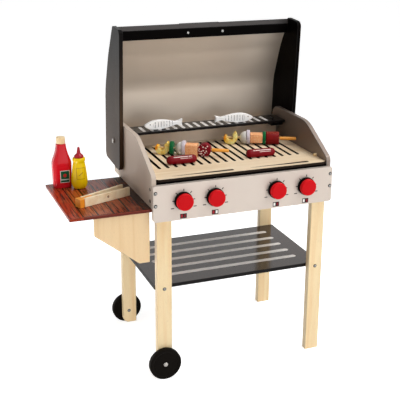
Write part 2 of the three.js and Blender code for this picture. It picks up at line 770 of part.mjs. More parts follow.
// Play food, which lies at shares of the half width and depth of the grate or rack
const sausageSpots = [
  { name: 'sausage_1', placeShares: [-0.548, 0.363], turn: -3 * degree },
  { name: 'sausage_2', placeShares: [0.384, 0.325], turn: -3 * degree },
];
const fishSpots = [
  { name: 'fish_1', placeShares: [-0.53, 0.3], turn: 4 * degree },
  { name: 'fish_2', placeShares: [0.355, 0.3], turn: 174 * degree },
];
const fishShares = [ // length and height, round the nose, back, tail fork and belly
  [0, 0.42], [0.06, 0.2], [0.18, 0.05], [0.32, 0], [0.46, 0], [0.62, 0.12], [0.8, 0.32], [0.88, 0.36],
  [1, 0.1], [0.97, 0.5], [1, 0.9], [0.88, 0.62], [0.8, 0.68], [0.62, 0.88], [0.46, 0.98], [0.32, 1],
  [0.18, 0.92], [0.06, 0.68], [0, 0.54],
];

function sausages() {
  const ends = 4;
  const profile = [];
  for (let i = -ends; i <= ends; i++) {
    if (i === 0) continue;
    const angle = ((Math.abs(i) - 1) / (ends - 1)) * (Math.PI / 2);
    const reach = sausageLength / 2 - sausageRadius + sausageRadius * Math.sin(angle);
    profile.push([Math.abs(i) === ends ? 0 : sausageRadius * Math.cos(angle), Math.sign(i) * reach]);
  }
  return sausageSpots.map(({ name, placeShares: [across, along], turn }) => {
    const piece = mesh(name, aimed(turned(profile), [1, 0, 0], [0, 0, 0]), darkRed);
    piece.position.set(across * fittedHalf, panelBack + along * cookDepth, grateTop + seat + sausageRadius);
    piece.rotation.z = turn;
    return piece;
  });
}

function fishes() {
  const outline = fishShares.map(([u, v]) => new THREE.Vector2((u - 0.5) * fishLength, v * fishHeight));
  return fishSpots.map(({ name, placeShares: [across, along], turn }) => {
    const piece = mesh(name, uprightBoard(outline, fishThick, -fishThick / 2), white);
    piece.position.set(across * fittedHalf, rackFront + along * rackDepth, rackTop + seat);
    piece.rotation.z = turn;
    return piece;
  });
}

// Kebabs: where the end of each handle lies, and what is on each stick, with its
// place as shares of the thin part of the stick
const kebabSpots = [
  { endShares: [0.034, 0.4027], turn: -29.9 * degree },
  { endShares: [0.9866, 0.5677], turn: -23.3 * degree },
];
const kebabShares = [
  [
    ['shrimp', shrimp, 0.051, 0.305, shrimpYellow], ['green_ring', slice, 0.31, 0.371, leafGreen],
    ['mushroom', mushroom, 0.397, 0.506, white], ['lilac_ring', onion, 0.512, 0.566, lilac],
    ['salmon', cube, 0.572, 0.771, salmonPink], ['salami', salami, 0.776, 0.995, darkRed],
  ],
  [
    ['shrimp', shrimp, 0.031, 0.284, shrimpYellow], ['mushroom', mushroom, 0.316, 0.429, white],
    ['lilac_ring', onion, 0.435, 0.493, lilac], ['salmon', loaf, 0.499, 0.71, salmonPink],
    ['green_ring', slice, 0.717, 0.764, leafGreen], ['beef', slice, 0.771, 0.992, darkRed],
  ],
];

/** A round slice across the stick. */
function slice(from, to) {
  return bar(morselRadius, to - from, [1, 0, 0], [from, 0, 0]);
}

/** A broad ring that hangs a little above the stick's line, so that it clears the grate. */
function onion(from, to) {
  const radius = morselRadius * onionRadiusShare;
  return bar(radius, to - from, [1, 0, 0], [from, 0, radius - morselRadius]);
}

/** A mushroom cap, domed towards the stick's tip. */
function mushroom(from, to) {
  const steps = 5;
  const profile = Array.from({ length: steps + 1 }, (_, i) => {
    const angle = (i / steps) * (Math.PI / 2);
    return [morselRadius * Math.sin(angle), (to - from) * (1 - Math.cos(angle))];
  });
  return aimed(turned([...profile, [0, to - from]]), [1, 0, 0], [from, 0, 0]);
}

function cube(from, to) {
  const side = morselRadius * cubeWidthShare;
  return block(from, -side, -morselRadius, to, side, morselRadius * cubeTopShare);
}

/** A flatter cube, level with the stick. */
function loaf(from, to) {
  const side = morselRadius * cubeWidthShare;
  const half = morselRadius * loafShare;
  return block(from, -side, -half, to, side, half);
}

/** A sausage slice that stands on its edge, pierced across. */
function salami(from, to) {
  const radius = (to - from) / 2;
  const width = radius * salamiWidthShare;
  return bar(radius, width, [0, 1, 0], [from + radius, -width / 2, radius - morselRadius]);
}

/** A shrimp: a thick crescent that lies on its back, so the stick runs through both arms. */
function shrimp(from, to) {
  const steps = 12;
  const outer = (to - from) / 2;
  const inner = outer * shrimpBellyShare;
  const start = 162 * degree;
  const sweep = 243 * degree;
  const arc = (radiusAt) => Array.from({ length: steps + 1 }, (_, i) => {
    const angle = start + (sweep * i) / steps;
    return new THREE.Vector2(radiusAt(i / steps), 0).rotateAround(new THREE.Vector2(), angle);
  });
  const back = arc((share) => outer * Math.min(1, shrimpTailShare + share));
  const belly = arc(() => inner).reverse();
  return uprightBoard([...back, ...belly], morselRadius, -morselRadius / 2)
    .translate(from + outer, 0, outer - morselRadius);
}

function kebabs() {
  const bevel = stickHandleRadius * edgeBevelShare;
  const stickProfile = [
    [0, 0], [stickRadius, bevel], [stickRadius, stickRun], [stickHandleRadius, stickRun],
    [stickHandleRadius, stickLength - bevel], [stickHandleRadius - bevel, stickLength], [0, stickLength],
  ];
  return kebabSpots.map(({ endShares: [across, along], turn }, i) => {
    const name = `kebab_${i + 1}`;
    const hole = bar(stickRadius + seat, stickLength + 2 * overrun, [1, 0, 0], [-overrun, 0, 0], smallSides);
    const morsels = kebabShares[i].map(([food, make, from, to, material]) => (
      mesh(`${name}_${food}`, cut(make(from * stickRun, to * stickRun), [hole]), material)));
    const run = new THREE.Group();
    const stick = aimed(turned(stickProfile, smallSides), [1, 0, 0], [0, 0, 0]);
    run.add(mesh(`${name}_stick`, stick, orange), ...morsels);
    run.position.x = -stickLength;
    const kebab = new THREE.Group();
    kebab.add(run);
    kebab.position.set(across * fittedHalf, panelBack + along * cookDepth, grateTop + seat + morselRadius);
    kebab.rotation.z = turn;
    return kebab;
  });
}

// The whole grill, moved so that its origin is under the middle of its outer box
const rightReach = lidOuterHalf + seat + hingeHeadHeight;
const leftReach = halfWidth + tableReach;
const frontReach = seat + knobBaseDepth + seat + knobCapDepth;
const backReach = pivotY + (lidBackReach - lidCornerRadius) * Math.cos(openAngle)
  + (lidTop - pivotZ - lidCornerRadius) * Math.sin(openAngle) + lidCornerRadius;

const grill = new THREE.Group();
grill.add(
  frontPanel(), ...sidePanels(), backPanel(), trayBoard(), cookingGrate(), warmingRack(), ...rackCleats(),
  ...legs(), lowerShelf(), sideTable(), tableBracket(), ...knobs(), ...wheels(), lid(), ...hingeBolts(),
  ketchup(), mustard(), tongs(), ...sausages(), ...fishes(), ...kebabs(),
);
grill.position.set((leftReach - rightReach) / 2, (frontReach - backReach) / 2, 0);

export default grill;
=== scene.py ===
# %% [markdown]
# # A toy barbecue grill, dressed for its picture
# The grill was drawn in CAD first, so every board, bolt and morsel already has its
# place and its size. This lesson gives it what a camera sees: soft edges, lacquer,
# wood, felt, screws and printed marks.
#
# The first step loads the CAD model as a fixed frame.

# %% Load the frame
import json
import math

import bpy
from mathutils import Matrix, Quaternion, Vector

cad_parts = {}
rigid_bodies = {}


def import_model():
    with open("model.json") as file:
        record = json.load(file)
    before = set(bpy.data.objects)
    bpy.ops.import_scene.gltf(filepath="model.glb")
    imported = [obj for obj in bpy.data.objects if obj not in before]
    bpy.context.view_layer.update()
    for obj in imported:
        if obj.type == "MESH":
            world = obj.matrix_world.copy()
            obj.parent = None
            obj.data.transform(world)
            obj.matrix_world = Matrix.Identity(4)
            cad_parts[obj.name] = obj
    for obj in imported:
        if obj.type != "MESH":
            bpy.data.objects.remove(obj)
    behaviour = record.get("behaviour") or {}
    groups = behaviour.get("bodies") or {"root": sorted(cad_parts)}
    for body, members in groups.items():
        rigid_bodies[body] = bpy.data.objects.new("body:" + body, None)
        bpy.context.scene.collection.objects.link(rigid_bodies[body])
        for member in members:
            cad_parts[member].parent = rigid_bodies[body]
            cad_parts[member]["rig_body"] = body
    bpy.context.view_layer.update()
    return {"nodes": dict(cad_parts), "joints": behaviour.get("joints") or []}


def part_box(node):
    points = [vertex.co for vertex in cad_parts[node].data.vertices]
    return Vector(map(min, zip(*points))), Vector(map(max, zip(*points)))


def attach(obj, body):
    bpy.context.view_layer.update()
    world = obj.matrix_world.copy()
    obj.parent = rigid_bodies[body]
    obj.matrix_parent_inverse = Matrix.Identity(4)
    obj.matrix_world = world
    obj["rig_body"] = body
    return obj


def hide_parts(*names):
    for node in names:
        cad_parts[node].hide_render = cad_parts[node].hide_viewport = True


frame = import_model()

# %% [markdown]
# ## Camera
# A product picture is taken with a long lens from a little above, because a long
# lens keeps upright lines upright. The place and the three angles below were worked
# out from the corners of the grill as they appear in its photograph. The small shift
# moves the picture on the sensor and doesn't change the view.

# %% Camera
CAMERA_PLACE = (-0.60245, -1.64786, 0.9366)
CAMERA_YAW = 0.3698
CAMERA_DIP = 0.3047
CAMERA_ROLL = 0.0066
SENSOR_WIDTH = 36
LENS = 80.17
LENS_SHIFT = (-0.005, -0.0712)


def add_camera():
    turn = (Matrix.Rotation(-CAMERA_YAW, 3, "Z")
            @ Matrix.Rotation(math.pi / 2 - CAMERA_DIP, 3, "X")
            @ Matrix.Rotation(CAMERA_ROLL, 3, "Z"))
    bpy.ops.object.camera_add(location=CAMERA_PLACE, rotation=turn.to_euler())
    camera = bpy.context.object
    camera.data.sensor_width = SENSOR_WIDTH
    camera.data.lens = LENS
    camera.data.shift_x, camera.data.shift_y = LENS_SHIFT
    bpy.context.scene.camera = camera
    return camera


print("Camera:", add_camera().name)

# %% [markdown]
# ## Materials are made of nodes
# A finish is rarely one flat colour: lacquer has faint clouds and a fine texture,
# wood has fibres, felt has fuzz. Blender makes these from noise, cells and ramps that
# read the place of each point on the object. The first class below keeps the calls
# short, and the second starts a material with them. Each finish is then a few lines.
#
# A printed mark is a mask: a number that is 1 inside the mark and 0 outside it. Masks
# are multiplied to keep what lies in all of them, and the larger one is taken to keep
# what lies in any.

# %% A short way to write nodes
class Nodes:
    """Short calls that add the usual nodes to a tree."""

    def __init__(self, tree):
        self.tree = tree

    def feed(self, socket, value):
        """Links an output to a socket, or writes a plain value on it."""
        if isinstance(value, bpy.types.NodeSocket):
            self.tree.links.new(value, socket)
            return
        if socket.type == "RGBA" and len(value) == 3:
            value = (*value, 1.0)
        socket.default_value = value

    def add(self, kind, inputs=(), **settings):
        """A new node: its properties are set, and its inputs fed in order or by name."""
        node = self.tree.nodes.new(kind)
        for key, value in settings.items():
            setattr(node, key, value)
        fed = inputs.items() if isinstance(inputs, dict) else enumerate(inputs)
        for key, value in fed:
            self.feed(node.inputs[key], value)
        return node

    def sum(self, operation, *values):
        """A Math node: its operation on numbers or outputs."""
        return self.add("ShaderNodeMath", values, operation=operation).outputs[0]

    def less(self, value, amount):
        return self.sum("SUBTRACT", value, amount)

    def size(self, value):
        """A value without its sign."""
        return self.sum("ABSOLUTE", value)

    def chain(self, operation, values):
        """One operation on many values, from the first to the last."""
        result = values[0]
        for value in values[1:]:
            result = self.sum(operation, result, value)
        return result

    def both(self, *masks):
        """1 where every mask is 1. A number among them is a share of the rest."""
        return self.chain("MULTIPLY", masks)

    def either(self, *masks):
        """1 where any mask is 1."""
        return self.chain("MAXIMUM", masks)

    def reach(self, across, along):
        """How far a point lies from 0 on two axes."""
        squares = self.both(across, across), self.both(along, along)
        return self.sum("SQRT", self.sum("ADD", *squares))

    def fold(self, value, pitch):
        """Brings a value within half a pitch of 0, so that a pattern repeats."""
        return self.sum("WRAP", value, -pitch / 2, pitch / 2)

    def axes(self, vector):
        return self.add("ShaderNodeSeparateXYZ", [vector]).outputs[:]

    def span(self, value, start, end, low=0.0, high=1.0):
        """Runs smoothly from low to high while the value runs from start to end."""
        return self.add("ShaderNodeMapRange", [value, start, end, low, high],
                        interpolation_type="SMOOTHSTEP").outputs[0]

    def until(self, value, start, end):
        """1 up to start, and 0 from end on."""
        return self.span(value, start, end, 1.0, 0.0)

    def stripe(self, value, middle, half, soft=0.0002):
        """1 where a value is within half of middle, and 0 elsewhere."""
        return self.until(self.size(self.less(value, middle)), half - soft, half + soft)

    def patch(self, u, v, halves, inset=0.0):
        """1 in a rectangle about 0, drawn in by an inset."""
        return self.both(self.stripe(u, 0, halves[0] - inset), self.stripe(v, 0, halves[1] - inset))

    def mix(self, share, first, second):
        """The first colour where share is 0, and the second where it is 1."""
        node = self.add("ShaderNodeMix", {0: share, 6: first, 7: second}, data_type="RGBA")
        return node.outputs[2]

    def seen_rays(self):
        """1 for what the camera, a reflection or a clear material sees."""
        path = self.add("ShaderNodeLightPath").outputs
        return self.either(*(path[f"Is {ray} Ray"] for ray in ("Camera", "Glossy", "Transmission")))


class Finish(Nodes):
    """One material, with textures that read the place on the object."""

    def __init__(self, name):
        self.material = bpy.data.materials.new(name)
        self.material.use_nodes = True
        super().__init__(self.material.node_tree)
        self.shader = self.tree.nodes["Principled BSDF"]
        self.here = self.add("ShaderNodeTexCoord").outputs["Object"]

    def placed(self, centre=(0, 0, 0), stretch=(1, 1, 1), turn=0.0):
        """Object coordinates about a centre, turned about Z and then stretched."""
        return self.add("ShaderNodeMapping", {"Vector": self.here, "Location": centre,
                                              "Rotation": (0, 0, turn), "Scale": stretch},
                        vector_type="TEXTURE").outputs[0]

    def noise(self, scale, detail=3.0, vector=None, rough=0.5, twist=0.0):
        return self.add("ShaderNodeTexNoise", {
            "Vector": self.here if vector is None else vector, "Scale": scale,
            "Detail": detail, "Roughness": rough, "Distortion": twist}).outputs[0]

    def cells(self, scale):
        return self.add("ShaderNodeTexVoronoi",
                        {"Vector": self.here, "Scale": scale}).outputs["Distance"]

    def bump(self, height, depth):
        """Small relief: depth is in metres, over heights from 0 to 1."""
        node = self.add("ShaderNodeBump", {"Distance": depth, "Height": height})
        self.feed(self.shader.inputs["Normal"], node.outputs[0])

    def set(self, **values):
        """Writes or links the shader's own sockets: base_color, roughness, ..."""
        for key, value in values.items():
            name = key.replace("_", " ").title().replace("Ior", "IOR")
            self.feed(self.shader.inputs[name], value)


def shade(colour, factor):
    """A lighter or darker version of a colour."""
    return tuple(min(1.0, channel * factor) for channel in colour)


# %% [markdown]
# ## Lacquer on wood
# Toy makers spray wood with a satin lacquer. Up close it has faint clouds where the
# coat is thicker and a fine orange-peel texture. Along the edges, where it is thinnest,
# it is duller and has another tone. So one function makes the faces' finish, and a
# second makes a slightly worn finish for the bevels along the edges.

# %% Lacquer
def lacquer(name, colour, roughness=0.35, metallic=0.0, cloud=0.06, specular=0.3,
            print_marks=None):
    """Sprayed lacquer: clouds in its colour and gloss, and a fine texture."""
    finish = Finish(name)
    clouds = finish.noise(14.0, 4.0)
    grain = finish.noise(60.0, 3.0, finish.placed(stretch=(1, 1, 8)))
    share = finish.sum("ADD", finish.both(clouds, 0.75), finish.both(grain, 0.25))
    base = finish.mix(share, shade(colour, 1 - cloud), shade(colour, 1 + cloud))
    if print_marks:
        base = print_marks(finish, base)
    gloss = finish.span(finish.noise(35.0, 5.0), 0.3, 0.7, roughness * 0.94, roughness * 1.06)
    finish.set(base_color=base, roughness=gloss, metallic=metallic, specular_ior_level=specular)
    finish.bump(finish.noise(900.0, 2.0), 0.00006)
    return finish.material


def worn(name, colour, roughness=0.5, specular=0.3, print_marks=None):
    """The thin, rubbed lacquer along an edge."""
    finish = Finish(name)
    rubbed = finish.span(finish.noise(120.0, 6.0, rough=0.7), 0.45, 0.75)
    base = finish.mix(rubbed, colour, shade(colour, 1.25))
    if print_marks:
        base = print_marks(finish, base)
    finish.set(base_color=base, specular_ior_level=specular,
               roughness=finish.span(rubbed, 0.0, 1.0, roughness, roughness + 0.15))
    finish.bump(finish.noise(500.0, 3.0), 0.0001)
    return finish.material


SILVER = (0.60, 0.52, 0.455)
SILVER_RIM = (0.68, 0.62, 0.56)
SHEET = (0.50, 0.42, 0.345)
SHEET_RIM = (0.20, 0.19, 0.19)
BLACK = (0.004, 0.003, 0.003)
BLACK_RIM = (0.006, 0.005, 0.005)
DEEP_BLACK = (0.0014, 0.0009, 0.0008)

silver_rim = worn("silver_lacquer_rim", SILVER_RIM)
sheet_rim = worn("sheet_lacquer_rim", SHEET_RIM)
black = lacquer("black_lacquer", BLACK, 0.34, cloud=0.15, specular=0.07)
deep_black = lacquer("deep_black_lacquer", DEEP_BLACK, 0.4, cloud=0.2, specular=0.015)
black_rim = worn("black_lacquer_rim", BLACK_RIM, 0.42, 0.1)
print("Lacquers:", black.name, deep_black.name)

# %% [markdown]
# ## Clear-coated pale wood
# The legs, the grate, the bracket and the tongs are pale birch under a clear coat.
# Wood fibres are long and thin, so the noise is stretched along the grain. Broad
# figure, fine fibres and short dark pores are three layers of the same idea.

# %% Pale wood
BIRCH_LIGHT = (1.0, 0.79, 0.47)
BIRCH_DARK = (0.93, 0.64, 0.32)
GRAIN_STRETCH = 18.0


def wood(name, along, light=BIRCH_LIGHT, dark=BIRCH_DARK, roughness=0.42, turn=0.0):
    """Wood whose grain runs along an axis: 0 for X, 1 for Y, 2 for Z."""
    finish = Finish(name)
    stretch = [1.0, 1.0, 1.0]
    stretch[along] = GRAIN_STRETCH
    place = finish.placed(stretch=tuple(stretch), turn=turn)
    figure = finish.noise(75.0, 3.0, place, twist=0.6)
    fibre = finish.noise(1400.0, 2.0, place)
    pores = finish.span(finish.noise(2600.0, 1.0, place), 0.62, 0.72)
    base = finish.mix(finish.span(figure, 0.35, 0.75), light, dark)
    base = finish.mix(finish.both(fibre, 0.22), base, shade(dark, 0.8))
    base = finish.mix(finish.both(pores, 0.3), base, shade(dark, 0.55))
    finish.set(base_color=base, coat_weight=0.25, coat_roughness=0.25,
               roughness=finish.span(fibre, 0.2, 0.8, roughness - 0.05, roughness + 0.1))
    finish.bump(fibre, 0.00005)
    return finish.material


birch_upright = wood("birch_upright", 2)
birch_across = wood("birch_across", 0)
birch_cut = wood("birch_cut_edge", 2, shade(BIRCH_LIGHT, 0.72), shade(BIRCH_DARK, 0.6))
print("Woods:", birch_upright.name, birch_across.name)

# %% [markdown]
# ## Screws and bolts
# Plated steel is a bright grey, with fine scratches and duller spots. The screws are
# the brightest, and the hinge bolts are the darkest.

# %% Steel
def plated_steel(name, dull, bright):
    finish = Finish(name)
    spots = finish.noise(700.0, 5.0, rough=0.65)
    finish.set(base_color=finish.mix(spots, dull, bright),
               roughness=finish.span(spots, 0.3, 0.7, 0.2, 0.42), metallic=1.0)
    finish.bump(finish.noise(1800.0, 2.0), 0.00004)
    return finish.material


steel = plated_steel("bolt_steel", (0.20, 0.19, 0.18), (0.50, 0.47, 0.43))
screw_steel = plated_steel("screw_steel", (0.40, 0.40, 0.39), (0.72, 0.70, 0.66))
hinge_steel = plated_steel("hinge_steel", (0.10, 0.09, 0.08), (0.40, 0.37, 0.34))
# Near-black for a screw's sloping side and its cross: painted shade.
screw_shade = worn("screw_painted_shade", (0.012, 0.012, 0.012), 0.6, 0.1)

# %% [markdown]
# ## Boards
# Every board is already cut in the CAD model, but its edges are knife-sharp, and real
# boards never are. An edge catches the light only if it is rounded, so a copy of each
# board is cleaned, its flat faces are made whole again, and a narrow bevel goes round
# it. The bevel gets a material of its own, the worn one.
#
# The copy starts with its vertices merged, because the CAD mesh is loose triangles.
# Faces that need another material are found in code, by their place or their normal.

# %% Copy a board and round its edges
MERGE = 0.000002
SMOOTH_ANGLE = 38.0


def clear_bench():
    """Leaves edit mode and deselects everything, so that nothing else is changed."""
    if bpy.context.object and bpy.context.object.mode != "OBJECT":
        bpy.ops.object.mode_set(mode="OBJECT")
    bpy.ops.object.select_all(action="DESELECT")


def take_up(piece):
    """Makes a piece the only selected and active one."""
    clear_bench()
    piece.select_set(True)
    bpy.context.view_layer.objects.active = piece


def modify(piece, kind, **settings):
    """Adds a modifier to a piece and applies it."""
    take_up(piece)
    bpy.ops.object.modifier_add(type=kind)
    modifier = piece.modifiers[-1]
    for key, value in settings.items():
        setattr(modifier, key, value)
    bpy.ops.object.modifier_apply(modifier=modifier.name)


def apply_place():
    """Moves the active piece's place, turn and scale into its mesh."""
    bpy.ops.object.transform_apply(location=True, rotation=True, scale=True)


def copy_of(node, *materials):
    """A merged copy of a CAD node, with its flat faces made whole."""
    piece = bpy.data.objects.new(node + "_dressed", frame["nodes"][node].data.copy())
    bpy.context.scene.collection.objects.link(piece)
    take_up(piece)
    piece.data.materials.clear()
    bpy.ops.mesh.customdata_custom_splitnormals_clear()
    bpy.ops.object.mode_set(mode="EDIT")
    bpy.ops.mesh.select_all(action="SELECT")
    bpy.ops.mesh.remove_doubles(threshold=MERGE)
    bpy.ops.mesh.mark_sharp(clear=True)
    bpy.ops.mesh.dissolve_limited(angle_limit=math.radians(0.5))
    bpy.ops.object.mode_set(mode="OBJECT")
    for material in materials:
        piece.data.materials.append(material)
    return piece


def round_edges(piece, width, segments=2, angle=32.0, slot_index=0):
    """Bevels the edges sharper than an angle, and smooths the piece."""
    modify(piece, "BEVEL", width=width, segments=segments, limit_method="ANGLE",
           angle_limit=math.radians(angle), material=slot_index, use_clamp_overlap=True)
    bpy.ops.object.shade_smooth_by_angle(angle=math.radians(SMOOTH_ANGLE))


def board(node, face, rim, width=0.0007, segments=2, angle=32.0):
    """The dressed copy of a CAD board, which stands for it."""
    piece = copy_of(node, face, rim)
    round_edges(piece, width, segments, angle, slot_index=1)
    modify(piece, "WEIGHTED_NORMAL", keep_sharp=True)
    return settle(piece, node)


def settle(piece, node, slot=None):
    """Lets a piece stand for a CAD node, on the same body."""
    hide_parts(node)
    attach(piece, frame["nodes"][node]["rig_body"])
    return piece


def slot_all(pieces, slot):
    print(slot + ":", ", ".join(piece.name for piece in pieces))


def paint_faces(piece, material, test):
    """Gives a material to the faces that pass a test."""
    if material.name not in piece.data.materials:
        piece.data.materials.append(material)
    index = piece.data.materials.find(material.name)
    faces = [face for face in piece.data.polygons if test(face)]
    for face in faces:
        face.material_index = index
    print(piece.name, "has", len(faces), "faces of", material.name)


def middle_of(node):
    low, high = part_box(node)
    return (low + high) / 2


def size_of(node):
    low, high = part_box(node)
    return high - low


# %% [markdown]
# ## The front panel and its printed marks
# The panel is silver, with printed ticks round each knob and a small black plate with
# two windows under it. The print follows a simple rule, so it can be part of the
# lacquer: the knobs stand on a grid, one pitch apart, and the middle place of the grid
# is empty. Folding the width by the pitch brings all four knobs to one place, and there
# the ticks are thin rays at equal angles, with a level stroke on either side.

# %% Printed marks
panel_low, panel_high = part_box("front_panel")
panel_middle = middle_of("front_panel").x
knob_middle = middle_of("knob_base_1")
KNOB_PITCH = 0.0652
PRINT_DEPTH = 0.002
PRINT_FADE = 0.001
TICK_STEP = math.radians(44.5)
TICK_ASIDE = 0.0015
TICK_REACH = (0.0209, 0.0022)
TICK_HALF = 0.0009
TICK_SOFT = 0.00015
STROKE_DROP = 0.0142
STROKE_REACH = (0.0229, 0.0033)
PLATE_DROP = 0.0315
PLATE_HALF = (0.0069, 0.0048)
WINDOW_HALF = (0.0020, 0.0031)
WINDOW_ASIDE = 0.0033
PRINT_WHITE = (0.80, 0.77, 0.72)
PRINT_RED = (0.30, 0.006, 0.014)
PRINT_DARK = (0.006, 0.003, 0.003)


def knob_marks(finish, aside, up):
    """The rays above a knob and the strokes beside its foot."""
    reach = finish.reach(aside, up)
    angle = finish.sum("ARCTAN2", aside, up)
    off_ray = finish.both(reach, finish.sum("SINE", finish.fold(angle, TICK_STEP)))
    rays = finish.both(finish.stripe(off_ray, 0.0, TICK_HALF, TICK_SOFT),
                       finish.stripe(reach, *TICK_REACH),
                       finish.until(finish.size(angle), 2.3 * TICK_STEP, 2.4 * TICK_STEP))
    strokes = finish.both(finish.stripe(up, -STROKE_DROP, TICK_HALF, TICK_SOFT),
                          finish.stripe(finish.size(aside), *STROKE_REACH))
    return finish.either(rays, strokes)


def window_tone(finish, from_middle, folded):
    """White and red on the right pair, red and white on the second, two reds on the first."""
    right_pair = finish.span(from_middle, -0.001, 0.001)
    past_first = finish.span(from_middle, -1.51 * KNOB_PITCH, -1.49 * KNOB_PITCH)
    left = finish.mix(right_pair, PRINT_RED, PRINT_WHITE)
    right = finish.mix(past_first, shade(PRINT_RED, 0.5), PRINT_WHITE)
    right = finish.mix(right_pair, right, shade(PRINT_RED, 0.6))
    return finish.mix(finish.span(folded, -0.0003, 0.0003), left, right)


def panel_print(finish, base):
    """Ticks and plates, printed over the lacquer."""
    x, y, z = finish.axes(finish.here)
    from_middle = finish.less(x, panel_middle)
    up = finish.less(z, knob_middle.z)
    folded = finish.fold(finish.less(from_middle, TICK_ASIDE / 2), KNOB_PITCH)
    steps_out = finish.sum("DIVIDE", finish.size(from_middle), KNOB_PITCH)
    print_back = panel_low.y + PRINT_DEPTH
    on_knobs = finish.both(finish.span(steps_out, 0.49, 0.51), finish.until(steps_out, 2.49, 2.51),
                           finish.until(y, print_back, print_back + PRINT_FADE))
    marks = knob_marks(finish, finish.less(folded, TICK_ASIDE / 2), up)
    plate_z = finish.sum("ADD", up, PLATE_DROP)
    plate = finish.patch(folded, plate_z, PLATE_HALF)
    windows = finish.patch(finish.less(finish.size(folded), WINDOW_ASIDE), plate_z, WINDOW_HALF)
    base = finish.mix(finish.both(finish.either(marks, plate), on_knobs), base, PRINT_DARK)
    return finish.mix(finish.both(windows, on_knobs), base,
                      window_tone(finish, from_middle, folded))


printed_silver = lacquer("printed_silver", SILVER, 0.36, metallic=0.35, print_marks=panel_print)
front_panel = board("front_panel", printed_silver, silver_rim)
slot_all([front_panel], "silver_paint")

# %% [markdown]
# ## Side panels, back panel and tray
# The side panels carry a short wooden peg each, which keeps the grate down. It is one
# body with the panel in the CAD model, so its faces are found by their place, inside
# the panel's inner face, and get the wood.

# %% Side panels, back panel and tray
PANEL_THICK = 0.009
PEG_MARGIN = 0.0004
# The right panel's lacquer is a much darker copy of the left one's: painted shade, as the right
# panel's inner face looks away from the light.
side_finish = {
    "left": lacquer("left_sheet", (0.60, 0.50, 0.415), 0.55, metallic=0.1, specular=0.1),
    "right": lacquer("right_sheet_painted_shade", (0.23, 0.18, 0.15), 0.42, metallic=0.45)}


def side_panel(word, side):
    """A side panel with its wooden peg: side is -1 on the left and 1 on the right."""
    node = word + "_side_panel"
    piece = board(node, side_finish[word], sheet_rim, 0.0008)
    low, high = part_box(node)
    inner_x = (low.x if side < 0 else high.x) - side * PANEL_THICK
    paint_faces(piece, birch_across, lambda face: side * (inner_x - face.center.x) > PEG_MARGIN)
    return piece


side_panels = [side_panel("left", -1), side_panel("right", 1)]
back_sheet = lacquer("back_sheet", shade(SHEET, 1.4), 0.42, metallic=0.3)
back_panel = board("back_panel", back_sheet, sheet_rim)
slot_all([*side_panels, back_panel], "silver_paint")
tray = board("tray_board", deep_black, deep_black)
cleats = [board(word + "_rack_cleat", black, black_rim) for word in ("left", "right")]
slot_all([tray, *cleats], "black_paint")

# %% [markdown]
# ## The cooking grate
# The grate is a thin plywood board with routed slots and two shallow grooves. Its
# walls and edges are painted near-black, as router burn and as painted shade in the
# slots and in the gap in front of it. A groove is painted darker the deeper it goes,
# as painted shade, so it is darkest at its deep right end, and a dark line beside it
# is scorch and painted shade. The walls are the faces that don't look up, and the
# groove's tone comes from how far below the top a point lies.

# %% Cooking grate
GROOVE_Y = -0.1197
GROOVES = ((-0.1453, -0.0185), (0.0185, 0.1453))
GROOVE_FLOOR = 0.0018
GROOVE_FADE = 0.002
SCORCH_AND_SHADE_HALF = (0.0006, 0.0052)
SCORCH_AND_SHADE_TONE = (0.050, 0.028, 0.015)
grate_top_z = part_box("cooking_grate")[1].z


def grate_top():
    finish = Finish("grate_top")
    x, y, z = finish.axes(finish.here)
    place = finish.placed(stretch=(GRAIN_STRETCH, 1, 1))
    figure = finish.noise(60.0, 4.0, place, twist=0.8)
    fibre = finish.noise(1300.0, 2.0, place)
    base = finish.mix(finish.span(figure, 0.3, 0.8), (0.90, 0.74, 0.53), (0.78, 0.58, 0.36))
    base = finish.mix(finish.both(fibre, 0.2), base, (0.50, 0.33, 0.18))
    # Painted shade: the deeper a point lies in a groove, the darker it is painted.
    depth = finish.sum("SUBTRACT", grate_top_z, z)
    groove_shade = finish.span(depth, 0.0001, GROOVE_FLOOR)
    base = finish.mix(finish.both(groove_shade, 0.9), base, (0.11, 0.055, 0.028))
    base = finish.mix(finish.span(depth, 0.0011, GROOVE_FLOOR), base, (0.016, 0.009, 0.006))
    u = finish.less(x, panel_middle)
    away = finish.size(finish.less(y, GROOVE_Y))
    # A dark line beside each groove, fading at its ends: scorch and painted shade.
    for left, right in GROOVES:
        half = finish.span(u, left, right, *SCORCH_AND_SHADE_HALF)
        scorch_and_shade = finish.both(finish.until(finish.less(away, half), -0.0006, 0.0004),
                             finish.until(u, right, right + GROOVE_FADE),
                             finish.span(u, left, left + GROOVE_FADE))
        base = finish.mix(finish.both(scorch_and_shade, 0.85), base, SCORCH_AND_SHADE_TONE)
    finish.set(base_color=base, roughness=finish.span(fibre, 0.2, 0.8, 0.4, 0.55))
    finish.bump(fibre, 0.00005)
    return finish.material


grate = board("cooking_grate", grate_top(), birch_cut, 0.0004)
# The walls and edges that don't look up are near-black: router burn and painted shade in the slots
# and in the gap in front.
burnt_and_shaded_wall = worn("burnt_and_shaded_wall", (0.018, 0.011, 0.007), 0.7, 0.1)
paint_faces(grate, burnt_and_shaded_wall, lambda face: abs(face.normal.z) < 0.5)
slot_all([grate], "natural_wood")

# %% [markdown]
# ## Warming rack and lower shelf
# Both boards are painted dark and printed with pale stripes that stand for wires. A
# stripe with round ends is every point within half a width of a line: the distance
# to a line's end adds to the distance from its middle.
#
# The shelf is a brown-black under a glossy coat. The white room shows in that coat,
# which is why it looks grey from the front, as the real one does.

